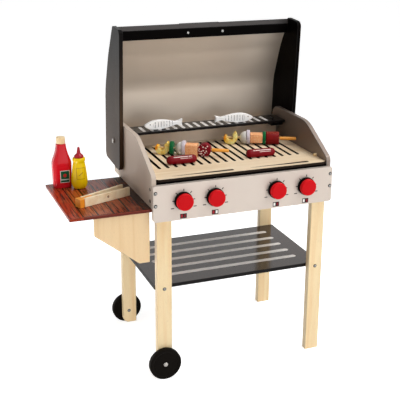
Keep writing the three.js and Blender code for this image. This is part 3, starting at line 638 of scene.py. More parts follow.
# %% Striped boards
RACK_PITCH = 0.0175
RACK_STRIPE = (0.0155, 0.0036)
RACK_STRIPES_END = 0.152
RACK_STRIPE_BACK = 0.001
SHELF_STRIPES = (0.0677, 0.1041, 0.1410, 0.1775, 0.2156)
SHELF_STRIPE = (0.1434, 0.0060)
TOP_PRINT = (0.001, 0.0005)
CHARCOAL = (0.032, 0.015, 0.007)
front_face_y = panel_low.y
rack_top_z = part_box("warming_rack")[1].z
shelf_top_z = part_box("lower_shelf")[1].z


def bar_mask(finish, across, along, half_length, half_width):
    """A bar with round ends, about 0 on both axes."""
    past = finish.sum("MAXIMUM", finish.less(finish.size(along), half_length), 0.0)
    return finish.until(finish.reach(past, across), half_width - 0.0002, half_width + 0.0002)


def on_top(finish, z, top_z):
    """1 on a board's top face only."""
    return finish.span(z, top_z - TOP_PRINT[0], top_z - TOP_PRINT[1])


def rack_print(finish, base):
    x, y, z = finish.axes(finish.here)
    from_middle = finish.less(x, panel_middle)
    along = finish.less(y, middle_of("warming_rack").y - RACK_STRIPE_BACK)
    bars = bar_mask(finish, finish.fold(from_middle, RACK_PITCH), along, *RACK_STRIPE)
    inside = finish.until(finish.size(from_middle), RACK_STRIPES_END, RACK_STRIPES_END + 0.001)
    return finish.mix(finish.both(bars, inside, on_top(finish, z, rack_top_z)), base,
                      (0.72, 0.70, 0.68))


def shelf_print(finish, base):
    x, y, z = finish.axes(finish.here)
    along = finish.less(x, panel_middle)
    bars = [bar_mask(finish, finish.less(y, front_face_y + depth), along, *SHELF_STRIPE)
            for depth in SHELF_STRIPES]
    return finish.mix(finish.both(finish.either(*bars), on_top(finish, z, shelf_top_z)), base,
                      (1.0, 0.94, 0.89))


rack_black = lacquer("rack_black", BLACK, 0.25, cloud=0.15, specular=0.12, print_marks=rack_print)
shelf_gloss = lacquer("shelf_charcoal", CHARCOAL, 0.13, cloud=0.12, specular=0.34,
                      print_marks=shelf_print)
rack = board("warming_rack", rack_black, black_rim)
shelf = board("lower_shelf", shelf_gloss, black_rim)
paint_faces(shelf, black_rim, lambda face: max(abs(face.normal.x), abs(face.normal.y)) > 0.8)
slot_all([rack], "black_paint")
slot_all([shelf], "charcoal_paint")

# %% [markdown]
# ## Legs and bracket
# The four legs are pale wood with the grain running up. Their sides show the cut
# edge, which is browner than the face. The bracket under the table is a board of the
# same wood, in a darker, warmer tone: painted shade and a painted warm reflection
# from the table above it.

# %% Legs and bracket
legs = [board(f"{row}_{word}_leg", birch_upright, birch_cut, 0.0011, 3)
        for row in ("front", "rear") for word in ("left", "right")]
for leg in legs:
    paint_faces(leg, birch_cut, lambda face: abs(face.normal.x) > 0.8)
# A darker, warmer copy of the legs' wood: painted shade under the table.
bracket_wood_shaded = wood("bracket_wood_shaded", 2, (0.95, 0.69, 0.39), (0.88, 0.60, 0.31))
bracket = board("table_bracket", bracket_wood_shaded, birch_cut, 0.0008)
slot_all([*legs, bracket], "natural_wood")

# %% [markdown]
# ## The side table
# Its top looks like red-brown planks, but it is one board with a plank print. A step
# at each seam gives every plank its own tone, and a thin dark line marks the seam. A
# narrow dark border runs along the front edge, and stops at the first plank.

# %% Side table
SEAMS = (-0.2480, -0.2196, -0.1895, -0.1596, -0.1315)
SEAM_HALF = 0.0014
SEAM_SOFT = 0.0003
LINE_SOFT = 0.0004
PLANK_TONES = ((0.45, 0.048, 0.013), (0.44, 0.085, 0.018), (0.36, 0.085, 0.032),
               (0.29, 0.055, 0.020), (0.26, 0.045, 0.018), (0.040, 0.008, 0.006))
BORDER_DEPTH = 0.0042
BORDER_LINE_HALF = 0.0007
border_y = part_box("side_table")[0].y + BORDER_DEPTH


def plank_print():
    finish = Finish("plank_print")
    x, y, _ = finish.axes(finish.here)

    def step(value, place):
        return finish.span(value, place - SEAM_SOFT, place + SEAM_SOFT)

    tone = PLANK_TONES[0]
    for seam, next_tone in zip(SEAMS, PLANK_TONES[1:]):
        tone = finish.mix(step(x, seam), tone, next_tone)
    seams = finish.either(*(finish.stripe(x, seam, SEAM_HALF, LINE_SOFT) for seam in SEAMS))
    place = finish.placed(stretch=(1, GRAIN_STRETCH, 1))
    figure = finish.noise(260.0, 4.0, place, twist=1.2)
    fibre = finish.noise(1500.0, 2.0, place)
    clouds = finish.noise(22.0, 4.0)
    tone = finish.mix(finish.span(figure, 0.45, 0.64, 0.0, 0.9), tone, (0.040, 0.008, 0.004))
    tone = finish.mix(finish.span(clouds, 0.5, 0.8, 0.0, 0.5), tone, (0.45, 0.13, 0.04))
    behind_border = step(y, border_y)
    past_first = step(x, SEAMS[0])
    border = finish.both(finish.sum("SUBTRACT", 1.0, behind_border), past_first)
    tone = finish.mix(border, tone, (0.14, 0.022, 0.012))
    border_line = finish.stripe(y, border_y, BORDER_LINE_HALF, LINE_SOFT)
    lines = finish.either(finish.both(seams, behind_border), finish.both(border_line, past_first))
    tone = finish.mix(finish.both(lines, 0.95), tone, (0.010, 0.004, 0.003))
    finish.set(base_color=tone, roughness=finish.span(fibre, 0.2, 0.8, 0.17, 0.26),
               specular_ior_level=0.13)
    finish.bump(finish.less(fibre, finish.both(lines, 2.0)), 0.00008)
    return finish.material


table_rim = worn("table_rim", (0.24, 0.035, 0.014), 0.45, 0.12)
table = board("side_table", plank_print(), table_rim, 0.0008)
slot_all([table], "red_brown_wood")

# %% [markdown]
# ## The lid
# The lid stands open on two bolts. Its sides and front rail are black, and the bent
# sheet between them is silver inside and out, with a darker end behind the rail. The
# left side's black is painted lighter and brown-grey towards the hinge, a painted
# reflection, and the right side's outer bevels are painted pale, a painted highlight.
# All of it rides on the body "lid", so it closes with the hinge.

# %% Lid
HOOD = (0.62, 0.54, 0.455)
lid_side_low, lid_side_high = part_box("lid_left_side")
rail_bottom_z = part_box("lid_front_rail")[0].z


def painted_reflection_fade(finish, base):
    """A black painted lighter and brown-grey towards the hinge, as a painted reflection."""
    z = finish.axes(finish.here)[2]
    return finish.mix(finish.until(z, lid_side_low.z, lid_side_high.z), base, (0.085, 0.052, 0.030))


def hood_print(finish, base):
    """The end behind the rail is darker."""
    z = finish.axes(finish.here)[2]
    return finish.mix(finish.span(z, rail_bottom_z - 0.0008, rail_bottom_z), base,
                      (0.05, 0.045, 0.044))


left_black = lacquer("left_side_lacquer", BLACK, 0.3, cloud=0.15, specular=0.035,
                     print_marks=painted_reflection_fade)
left_side = board("lid_left_side", left_black, black_rim, 0.0009, 3)
right_side = board("lid_right_side", deep_black, black_rim, 0.0012, 3)
# The right side's outer bevels that face right and front are painted pale: a painted highlight.
paint_faces(right_side, worn("painted_highlight_edge", (0.30, 0.26, 0.24), 0.4),
            lambda face: face.material_index == 1 and face.normal.x > 0.2 and face.normal.y < 0.2)
rail = board("lid_front_rail", deep_black, black_rim, 0.0009, 3)
hood_silver = lacquer("hood_silver", HOOD, 0.42, metallic=0.5, cloud=0.03, print_marks=hood_print)
hood_rim = worn("hood_rim", HOOD, print_marks=hood_print)
hood = board("lid_hood", hood_silver, hood_rim, 0.0005, angle=50)
handle = board("lid_handle", black, black_rim, 0.0004, angle=50)
slot_all([left_side, right_side, rail, handle], "black_paint")
slot_all([hood], "silver_paint")

# %% [markdown]
# ## Turned pieces
# A wood turner cuts a shape from its outline while the blank spins. Blender's Spin
# does the same: one vertex is extruded along the outline, and the line is spun once
# round. The ends lie on the axis, so merging the doubles closes both poles, and the
# normals are then made to point outwards.

# %% Spin an outline
TURN_STEPS = 48


def arc(radius, height, corner, start, end, steps=4):
    """Points round a corner: its centre is at (radius, height), angles in degrees."""
    turn = [math.radians(start + (end - start) * i / steps) for i in range(steps + 1)]
    return [(radius + corner * math.cos(a), height + corner * math.sin(a)) for a in turn]


def scaled(shares, radius, height, start=0.0):
    """An outline in shares of a radius and a height, at its real size."""
    return [(r * radius, start + h * height) for r, h in shares]


def turned(name, outline, foot, aim=(0, 0, 1), steps=TURN_STEPS, smooth=SMOOTH_ANGLE):
    """A closed turned piece from (radius, height) pairs, stood at foot along aim."""
    clear_bench()
    bpy.ops.mesh.primitive_plane_add(size=0.001)
    piece = bpy.context.object
    piece.name = name
    bpy.ops.object.mode_set(mode="EDIT")
    bpy.ops.mesh.select_mode(type="VERT")
    bpy.ops.mesh.merge(type="CENTER")
    radius, height = outline[0]
    bpy.ops.transform.translate(value=(radius, 0, height))
    for next_radius, next_height in outline[1:]:
        step = (next_radius - radius, 0, next_height - height)
        bpy.ops.mesh.extrude_vertices_move(TRANSFORM_OT_translate={"value": step})
        radius, height = next_radius, next_height
    bpy.ops.mesh.select_all(action="SELECT")
    bpy.ops.mesh.spin(steps=steps, angle=2 * math.pi, center=(0, 0, 0), axis=(0, 0, 1))
    bpy.ops.mesh.select_all(action="SELECT")
    bpy.ops.mesh.remove_doubles(threshold=MERGE)
    bpy.ops.mesh.normals_make_consistent(inside=False)
    bpy.ops.object.mode_set(mode="OBJECT")
    stand(piece, foot, aim)
    bpy.ops.object.shade_smooth_by_angle(angle=math.radians(smooth))
    return piece


def stand(piece, foot, aim, spin=0.0):
    """Turns a piece that was made along Z, points it, moves its foot, and applies all."""
    take_up(piece)
    point = Vector((0, 0, 1)).rotation_difference(Vector(aim))
    piece.rotation_euler = (point @ Quaternion((0, 0, 1), spin)).to_euler()
    piece.location = foot
    apply_place()


def twin_of(piece, name):
    """A copy with its own mesh, which stays selected."""
    take_up(piece)
    bpy.ops.object.duplicate(linked=False)
    bpy.context.object.name = name
    return bpy.context.object


def dress(piece, material, node, slot):
    piece.data.materials.clear()
    piece.data.materials.append(material)
    return settle(piece, node, slot)


def end_of(node, axis, way):
    """Where a piece along an axis starts, if it points to way, and how long it is."""
    low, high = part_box(node)
    foot = middle_of(node)
    foot[axis] = high[axis] if way < 0 else low[axis]
    return foot, high[axis] - low[axis]


# %% [markdown]
# ## Knobs
# Each knob is a black base with a red cap glued on. A toy's knob has soft edges all
# round, so both outlines end in small arcs. The base's spindle runs through the panel
# to a collar behind it. One knob is made, and the other three are copies.

# %% Knobs
KNOB_RED = (0.66, 0.006, 0.010)
KNOB_STEPS = {2: 1, 3: 3, 4: 4}
PANEL_GAP = 0.0003
COLLAR_RADIUS = 0.007
COLLAR_HEIGHT = 0.004
COLLAR_EDGE = 0.0005
SPINDLE_RADIUS = 0.0035
BASE_HOLLOW_RADIUS = 0.0160
BASE_BACK_EDGE = 0.0006
BASE_FRONT_EDGE = 0.0008
CAP_BACK_EDGE = 0.0004
CAP_FRONT_EDGE = 0.0022
CAP_CROWN = 0.0001
knob_red = lacquer("knob_red", KNOB_RED, 0.36, cloud=0.06, specular=0.07)


def knob_base():
    """The first knob's collar, spindle and base, from behind the panel to the front."""
    low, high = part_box("knob_base_1")
    radius = (high.x - low.x) / 2
    collar, panel, front = -high.y, -panel_low.y + PANEL_GAP, -low.y
    top = collar + COLLAR_HEIGHT
    outline = [(0, collar),
               *arc(COLLAR_RADIUS - COLLAR_EDGE, collar + COLLAR_EDGE, COLLAR_EDGE, -90, 0, 2),
               (COLLAR_RADIUS, top), (SPINDLE_RADIUS, top), (SPINDLE_RADIUS, panel),
               (BASE_HOLLOW_RADIUS, panel),
               *arc(radius - BASE_BACK_EDGE, panel + BASE_BACK_EDGE, BASE_BACK_EDGE, -90, 0, 2),
               *arc(radius - BASE_FRONT_EDGE, front - BASE_FRONT_EDGE, BASE_FRONT_EDGE, 0, 90),
               (0, front)]
    return turned("knob_1_base", outline, (knob_middle.x, 0, knob_middle.z), (0, -1, 0), 64)


def knob_cap():
    low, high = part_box("knob_cap_1")
    radius = (high.x - low.x) / 2
    back, front = -high.y, -low.y
    outline = [(0, back), (radius - CAP_BACK_EDGE, back), (radius, back + CAP_BACK_EDGE),
               *arc(radius - CAP_FRONT_EDGE, front - CAP_FRONT_EDGE, CAP_FRONT_EDGE, 0, 90, 6),
               (radius * 0.55, front - CAP_CROWN), (0, front)]
    return turned("knob_1_cap", outline, (knob_middle.x, 0, knob_middle.z), (0, -1, 0), 64)


knob_bases, knob_caps = [knob_base()], [knob_cap()]
for index, steps in KNOB_STEPS.items():
    for pieces, word in ((knob_bases, "base"), (knob_caps, "cap")):
        pieces.append(twin_of(pieces[0], f"knob_{index}_{word}"))
        pieces[-1].location = (steps * KNOB_PITCH, 0, 0)
        apply_place()
for index, (base, cap) in enumerate(zip(knob_bases, knob_caps), 1):
    dress(base, deep_black, f"knob_base_{index}", "black_paint")
    dress(cap, knob_red, f"knob_cap_{index}", "red_paint")
print("Knobs:", len(knob_caps))

# %% [markdown]
# ## Wheels and bolts
# The wheels are black discs with a raised rim, each on a bright bolt. The outline of
# a wheel is closed on itself, because the bore goes right through.

# %% Wheels
BORE_RADIUS = 0.003
DISH_DEPTH = 0.0012
RIM_WIDTH = 0.0064
RIM_SLOPE = 0.0014
RIM_LIP = 0.0001
TREAD_EDGE = 0.0018
BOLT_RADIUS = 0.0026
BOLT_END_EDGE = 0.0003
BOLT_HEAD_RADIUS = 0.0046
BOLT_HEAD = 0.0024
BOLT_HEAD_SHARES = ((1, 0), (1, 0.35), (0.9, 0.68), (0.66, 0.9), (0.35, 1), (0, 1))
wheel_black = lacquer("wheel_black", (0.006, 0.0045, 0.0035), 0.45, cloud=0.15, specular=0.03)


def wheel(node, way):
    foot, thick = end_of(node, 1, way)
    radius = size_of(node).x / 2
    rim = radius - RIM_WIDTH
    tread = radius - TREAD_EDGE
    near = [(BORE_RADIUS, DISH_DEPTH), (rim - RIM_SLOPE, DISH_DEPTH), (rim, RIM_LIP), (tread, 0)]
    outline = [*near, *arc(tread, TREAD_EDGE, TREAD_EDGE, -90, 0),
               *arc(tread, thick - TREAD_EDGE, TREAD_EDGE, 0, 90),
               *[(r, thick - h) for r, h in reversed(near)], near[0]]
    return turned(node + "_dressed", outline, foot, (0, way, 0), 64)


def wheel_bolt(node, way):
    """A plain shank with a low dome for its head."""
    foot, length = end_of(node, 1, way)
    neck = length - BOLT_HEAD
    outline = [(0, 0), (BOLT_RADIUS - BOLT_END_EDGE, 0), (BOLT_RADIUS, BOLT_END_EDGE),
               (BOLT_RADIUS, neck), *scaled(BOLT_HEAD_SHARES, BOLT_HEAD_RADIUS, BOLT_HEAD, neck)]
    return turned(node + "_dressed", outline, foot, (0, way, 0), 32)


for row, way in (("front", -1), ("rear", 1)):
    dress(wheel(row + "_wheel", way), wheel_black, row + "_wheel", "black_paint")
    bolt = row + "_wheel_bolt"
    dress(wheel_bolt(bolt, way), steel, bolt, "bright_steel")
print("Wheels:", size_of("front_wheel"))

# %% Hinge bolts
HINGE_HEAD = 0.0026
HINGE_SHANK_RADIUS = 0.003
HINGE_NUT_EDGE = 0.0005
HINGE_HEAD_SHARES = ((1, 0), (1, 0.35), (0.9, 0.7), (0.65, 0.92), (0.3, 1), (0, 1))


def hinge_bolt(node, way):
    """A domed head outside the lid, a shank, and a flat nut inside the firebox."""
    foot, length = end_of(node, 0, way)
    radius = size_of(node).z / 2
    neck = length - HINGE_HEAD
    outline = [(0, 0), (radius - HINGE_NUT_EDGE, 0), (radius, HINGE_NUT_EDGE), (radius, HINGE_HEAD),
               (HINGE_SHANK_RADIUS, HINGE_HEAD), (HINGE_SHANK_RADIUS, neck),
               *scaled(HINGE_HEAD_SHARES, radius, HINGE_HEAD, neck)]
    return turned(node + "_dressed", outline, foot, (way, 0, 0), 32)


for word, way in (("left", -1), ("right", 1)):
    bolt = word + "_hinge_bolt"
    dress(hinge_bolt(bolt, way), hinge_steel, bolt, "bright_steel")


# %% [markdown]
# ## Screws
# The grill is held together by cross-head screws, whose heads show. One head is
# turned, a cross is cut into it with a Boolean, and copies of it go wherever the
# photograph shows a screw, and on the ends of the two wheel bolts. A head's sloping
# side and its cross are painted near-black: painted shade for the gap round the head
# and for the recess.

# %% One screw head
SCREW_RADIUS = 0.0036
SCREW_HEIGHT = 0.0015
SCREW_SHARES = ((0, 0), (1, 0), (1, 0.2), (0.92, 0.55), (0.62, 0.9), (0.4, 1), (0, 1))
CROSS = (0.0044, 0.0009)
CROSS_CUT = 0.0018


def add_block(place, size):
    """A box at its size and place, to be shaped further or to cut with."""
    clear_bench()
    bpy.ops.mesh.primitive_cube_add(size=1, location=place, scale=size)
    apply_place()
    return bpy.context.object


def screw_head():
    outline = scaled(SCREW_SHARES, SCREW_RADIUS, SCREW_HEIGHT)
    head = turned("screw_head", outline, (0, 0, 0), steps=24)
    head.data.materials.append(screw_steel)
    # The sloping side and the cross's walls get painted shade.
    paint_faces(head, screw_shade, lambda face: face.normal.z < 0.94)
    for length, width in (CROSS, reversed(CROSS)):
        cutter = add_block((0, 0, SCREW_HEIGHT), (length, width, CROSS_CUT))
        cutter.data.materials.append(screw_steel)
        paint_faces(cutter, screw_shade, lambda face: True)
        modify(head, "BOOLEAN", object=cutter, operation="DIFFERENCE")
        bpy.data.objects.remove(cutter)
    return head


first_head = screw_head()
screws = []


def screw(body, foot, aim, spin=0.0):
    """A screw head that rides on a body: foot on the board, aim out of it."""
    head = twin_of(first_head, f"screw_{len(screws) + 1}")
    stand(head, foot, aim, spin)
    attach(head, body)
    screws.append(head)


# %% Screws on the firebox, the legs and the rack
PANEL_SCREWS_ASIDE = 0.1855
PANEL_SCREWS = ((0.0143, 0.5), (0.0397, 1.1))  # drop and spin
SIDE_SCREWS_BACK = (0.0194, 0.2579)
SIDE_SCREWS_HEIGHT = (0.3976, 0.3745)
SIDE_SINK = 0.0004  # so that the lid's sides clear the heads
SHELF_SCREWS_HEIGHT = 0.1922
RACK_SCREWS_ASIDE = 0.1598
RACK_SCREWS_BACK = 0.227

leg_reach = panel_middle - middle_of("front_left_leg").x
leg_front_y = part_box("front_left_leg")[0].y
leg_back_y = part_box("rear_left_leg")[1].y
for side in (-1, 1):
    for drop, spin in PANEL_SCREWS:
        screw("grill", (panel_middle + side * PANEL_SCREWS_ASIDE, panel_low.y, panel_high.z - drop),
              (0, -1, 0), spin + side)
    outer = panel_middle + side * (panel_high.x - panel_middle)
    for back in SIDE_SCREWS_BACK:
        for height in SIDE_SCREWS_HEIGHT:
            screw("grill", (outer - side * SIDE_SINK, front_face_y + back, height), (side, 0, 0),
                  back * 9 + side)
    for y, way in ((leg_front_y, -1), (leg_back_y, 1)):
        screw("grill", (panel_middle + side * leg_reach, y, SHELF_SCREWS_HEIGHT),
              (0, way, 0), side * 0.4)
    rack_x = panel_middle + side * RACK_SCREWS_ASIDE
    screw("grill", (rack_x, front_face_y + RACK_SCREWS_BACK, rack_top_z), (0, 0, 1), side * 0.7)

for row, face, way in (("front", 1, 1), ("rear", 0, -1)):
    foot = middle_of(row + "_wheel")
    foot.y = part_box(row + "_left_leg")[face].y
    screw("grill", foot, (0, way, 0), 0.3)


# %% [markdown]
# The lid's rail is screwed on from below, which is the side that faces the camera
# while the lid is open. The screws' place is known on the closed lid. The hinge opens
# it by the joint's range, so the same turn gives their place and direction here.

# %% Screws on the lid's rail
RAIL_SCREWS_ASIDE = 0.0385
RAIL_SCREWS_BACK = 0.017
CLOSED_RAIL_BOTTOM = 0.439

hinge = next(joint for joint in frame["joints"] if joint["name"] == "lid_hinge")
pivot = Vector(hinge["pos_m"])
open_turn = Matrix.Rotation(-math.radians(hinge["range_deg"][1]), 3, "X")


def when_open(closed):
    """Where a point of the closed lid is when the lid is open."""
    return pivot + open_turn @ (Vector(closed) - pivot)


down = open_turn @ Vector((0, 0, -1))
for side in (-1, 1):
    closed = (panel_middle + side * RAIL_SCREWS_ASIDE, front_face_y + RAIL_SCREWS_BACK,
              CLOSED_RAIL_BOTTOM)
    screw("lid", when_open(closed), down, side * 0.6)
print("Screws:", len(screws))

# %% [markdown]
# ## Ketchup bottle
# The bottle is flat and broad at its foot and nearly round at its neck. It starts as
# a block whose upright edges are bevelled wide, and its top is extruded upwards step
# by step, a little narrower each time. A subdivision surface makes the walls smooth.
# The label is a print: a green field in a white border.

# %% Ketchup bottle
bottle_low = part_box("ketchup_bottle")[0]
bottle_middle = middle_of("ketchup_bottle")
bottle_half = size_of("ketchup_bottle") / 2
BOTTLE_RED = (0.62, 0.006, 0.015)
BOTTLE_FOOT = 0.004
BOTTLE_FOOT_SHARE = 0.93
BOTTLE_SHARES = ((0.045, 0.93), (0.3, 0.965), (0.52, 1.0), (0.6, 0.97), (0.68, 0.82),
                 (0.76, 0.68), (0.84, 0.58), (0.92, 0.51), (0.97, 0.485), (1.0, 0.48))
LABEL_SIZE = (0.0096, 0.0128)
LABEL_PLACE = (0.0036, 0.0240)
LABEL_BORDER = 0.0011
LABEL_LINE = (-0.0062, 0.0009)
LABEL_DOT_RISE = 0.0025
LABEL_DOT = (0.0034, 0.0038)


def ketchup_print(finish, base):
    x, y, z = finish.axes(finish.here)
    u = finish.less(x, bottle_middle.x + LABEL_PLACE[0])
    v = finish.less(z, bottle_low.z + LABEL_PLACE[1])
    front = finish.until(y, bottle_middle.y - 0.006, bottle_middle.y - 0.005)
    label = finish.both(finish.patch(u, v, LABEL_SIZE), front)
    inner = finish.both(label, finish.patch(u, v, LABEL_SIZE, LABEL_BORDER))
    line = finish.stripe(v, *LABEL_LINE)
    dot = finish.until(finish.reach(u, finish.less(v, LABEL_DOT_RISE)), *LABEL_DOT)
    base = finish.mix(label, base, (0.66, 0.70, 0.66))
    base = finish.mix(inner, base, (0.006, 0.075, 0.032))
    base = finish.mix(finish.both(inner, line), base, (0.62, 0.66, 0.62))
    return finish.mix(finish.both(inner, dot), base, (0.50, 0.02, 0.02))


def select_where(piece, mode, test):
    """Selects, in edit mode, the edges or faces that pass a test."""
    bpy.ops.mesh.select_mode(type=mode)
    bpy.ops.mesh.select_all(action="DESELECT")
    bpy.ops.object.mode_set(mode="OBJECT")
    for item in piece.data.edges if mode == "EDGE" else piece.data.polygons:
        item.select = test(item)
    bpy.ops.object.mode_set(mode="EDIT")


def ketchup_bottle():
    height = 2 * bottle_half.z
    wide = deep = BOTTLE_FOOT_SHARE
    bottle = add_block((bottle_middle.x, bottle_middle.y, bottle_low.z + BOTTLE_FOOT / 2),
                       (2 * bottle_half.x * wide, 2 * bottle_half.y * deep, BOTTLE_FOOT))
    bottle.name = "ketchup_bottle_dressed"
    bpy.ops.object.mode_set(mode="EDIT")

    def upright(edge):
        first, second = (bottle.data.vertices[i].co.z for i in edge.vertices)
        return abs(first - second) > BOTTLE_FOOT / 2

    select_where(bottle, "EDGE", upright)
    bpy.ops.mesh.bevel(offset=bottle_half.y * 0.62, segments=4, affect="EDGES")
    select_where(bottle, "FACE", lambda face: face.normal.z > 0.9)
    level = BOTTLE_FOOT
    for share, width in BOTTLE_SHARES:
        neck = min(1.0, max(0.0, (share - 0.5) / 0.5))
        depth = width * (1 + 0.5 * neck * neck * (3 - 2 * neck))
        bpy.ops.mesh.extrude_region_move(
            TRANSFORM_OT_translate={"value": (0, 0, share * height - level)})
        bpy.ops.transform.resize(value=(width / wide, depth / deep, 1),
                                 center_override=(bottle_middle.x, bottle_middle.y, 0))
        level, wide, deep = share * height, width, depth
    bpy.ops.mesh.inset(thickness=0.001)
    select_where(bottle, "FACE", lambda face: face.normal.z < -0.9)
    bpy.ops.mesh.inset(thickness=0.0012)
    modify(bottle, "SUBSURF", levels=2, render_levels=2)
    bpy.ops.object.shade_smooth()
    return bottle


def ketchup_cap():
    """A short turned plug of wood with a rounded top."""
    size = size_of("ketchup_cap")
    radius = size.x / 2
    edge = 0.002
    outline = [(0, 0), (radius * 0.97, 0), (radius, 0.0006),
               *arc(radius * 0.96 - edge, size.z - edge, edge, 0, 90), (0, size.z)]
    foot = middle_of("ketchup_cap")
    foot.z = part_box("ketchup_cap")[0].z
    return turned("ketchup_cap_dressed", outline, foot)


ketchup_red = lacquer("ketchup_red", BOTTLE_RED, 0.17, specular=0.2, print_marks=ketchup_print)
bottle = dress(ketchup_bottle(), ketchup_red, "ketchup_bottle", "red_paint")
dress(ketchup_cap(), birch_upright, "ketchup_cap", "natural_wood")
print("Ketchup bottle:", len(bottle.data.polygons), "faces")

# %% [markdown]
# ## Mustard bottle
# This one is round all the way up, so its outline is spun: a full belly, a long
# shoulder, and a collar under the red nozzle. Its label is only a thin outline.

# %% Mustard bottle
JAR_LABEL = (0.0088, 0.0115)
JAR_LABEL_RISE = 0.034
JAR_LABEL_LINE = 0.0007
JAR_STROKE_HALF = 0.0045
JAR_SHARES = ((0, 0), (0.60, 0), (0.72, 0.012), (0.84, 0.05), (0.93, 0.10), (0.985, 0.17),
              (1, 0.24), (0.995, 0.31), (0.97, 0.39), (0.93, 0.49), (0.88, 0.59), (0.82, 0.69),
              (0.765, 0.78), (0.72, 0.835), (0.705, 0.855), (0.71, 0.875), (0.755, 0.89),
              (0.765, 0.90), (0.77, 0.96), (0.76, 0.985), (0.72, 1.0), (0, 1))
TIP_SHARES = ((0, 0), (0.97, 0), (1, 0.02), (1, 0.14), (0.95, 0.19), (0.80, 0.26), (0.58, 0.33),
              (0.45, 0.40), (0.40, 0.48), (0.37, 0.58), (0.33, 0.72), (0.28, 0.86), (0.23, 0.93),
              (0.14, 0.98), (0, 1))
jar_foot = middle_of("mustard_bottle")
jar_foot.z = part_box("mustard_bottle")[0].z


def mustard_print(finish, base):
    x, y, z = finish.axes(finish.here)
    u = finish.less(x, jar_foot.x)
    v = finish.less(z, jar_foot.z + JAR_LABEL_RISE)
    front = finish.until(y, jar_foot.y - 0.002, jar_foot.y - 0.001)
    label = finish.both(finish.patch(u, v, JAR_LABEL), front)
    inner = finish.both(label, finish.patch(u, v, JAR_LABEL, JAR_LABEL_LINE))
    slant = finish.less(v, finish.both(u, 0.7))
    stroke = finish.both(finish.stripe(slant, -0.001, JAR_LABEL_LINE),
                         finish.stripe(u, 0, JAR_STROKE_HALF), label)
    ink = finish.either(finish.less(label, inner), stroke)
    return finish.mix(finish.both(ink, 0.85), base, (0.30, 0.07, 0.01))


def turned_from_shares(node, shares, foot_z, **settings):
    """A turned piece on the jar's axis that fills a CAD node's box."""
    size = size_of(node)
    outline = scaled(shares, size.x / 2, size.z)
    foot = (jar_foot.x, jar_foot.y, foot_z)
    return turned(node + "_dressed", outline, foot, smooth=60, **settings)


mustard_yellow = lacquer("mustard_yellow", (0.97, 0.66, 0.003), 0.22, cloud=0.05, specular=0.2,
                         print_marks=mustard_print)
nozzle_red = lacquer("nozzle_red", (0.42, 0.006, 0.018), 0.24)
jar = turned_from_shares("mustard_bottle", JAR_SHARES, jar_foot.z)
dress(jar, mustard_yellow, "mustard_bottle", "yellow_paint")
tip_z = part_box("mustard_nozzle")[0].z
tip = turned_from_shares("mustard_nozzle", TIP_SHARES, tip_z, steps=32)
dress(tip, nozzle_red, "mustard_nozzle", "red_paint")
print("Mustard bottle:", size_of("mustard_bottle"))

# %% [markdown]
# ## Tongs
# Two thin strips are glued to an orange block, whose tongue keeps them apart. A small
# wooden pin shows in the front strip.

# %% Tongs
tongs_wood = wood("tongs_wood", 0, (1.0, 0.86, 0.60), (0.86, 0.63, 0.37),
                  turn=math.radians(-23.5))
orange_paint = lacquer("orange_paint", (0.86, 0.30, 0.02), 0.36)
orange_rim = worn("orange_rim", (0.88, 0.36, 0.06))
arms = [board(f"tongs_{word}_arm", tongs_wood, tongs_wood, 0.0006) for word in ("front", "rear")]
block = board("tongs_block", orange_paint, orange_rim, 0.0008, angle=40)
slot_all(arms, "natural_wood")
slot_all([block], "orange_paint")

# %% The tongs' pin
PIN_PLACE = (-0.1815, 0.3712)
PIN_OUTLINE = ((0, -0.002), (0.0024, -0.002), (0.0024, 0.0001), (0.0020, 0.0004), (0, 0.0004))


def on_front(piece, x, z):
    """A point on the widest face that looks to the front, and that face's normal."""
    fronts = [face for face in piece.data.polygons if face.normal.y < -0.8]
    widest = max(fronts, key=lambda face: face.area)
    middle, normal = widest.center, widest.normal
    y = middle.y - (normal.x * (x - middle.x) + normal.z * (z - middle.z)) / normal.y
    return (x, y, z), tuple(normal)


pin_foot, pin_aim = on_front(arms[0], *PIN_PLACE)
pin = turned("tongs_pin", PIN_OUTLINE, pin_foot, pin_aim, 24)
pin.data.materials.append(wood("pin_wood", 2, (0.40, 0.22, 0.10), (0.22, 0.11, 0.05)))
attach(pin, frame["nodes"]["tongs_front_arm"]["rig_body"])
print("Pin at", [round(value, 4) for value in pin_foot])

# %% [markdown]
# ## Sausages and fish
# The sausages are turned, with round ends and pale streaks along the front and the
# back, which are painted highlights broken into dabs. The fish are cut from a thick
# board, so their copies get a wide bevel, and a subdivision surface rounds the outline.

# %% Sausages
SAUSAGE_RED = (0.20, 0.003, 0.008)
SAUSAGE_LENGTH = 0.063
SAUSAGE_TURN = math.radians(-3)
HIGHLIGHT_SOFT = 0.0002
HIGHLIGHT_END = 0.001


def sausage(node):
    radius = size_of(node).z / 2
    half = SAUSAGE_LENGTH / 2 - radius
    outline = [*arc(0, -half, radius, -90, 0, 8), *arc(0, half, radius, 0, 90, 8)]
    aim = (math.cos(SAUSAGE_TURN), math.sin(SAUSAGE_TURN), 0)
    return turned(node + "_dressed", outline, middle_of(node), aim, 40, smooth=60)


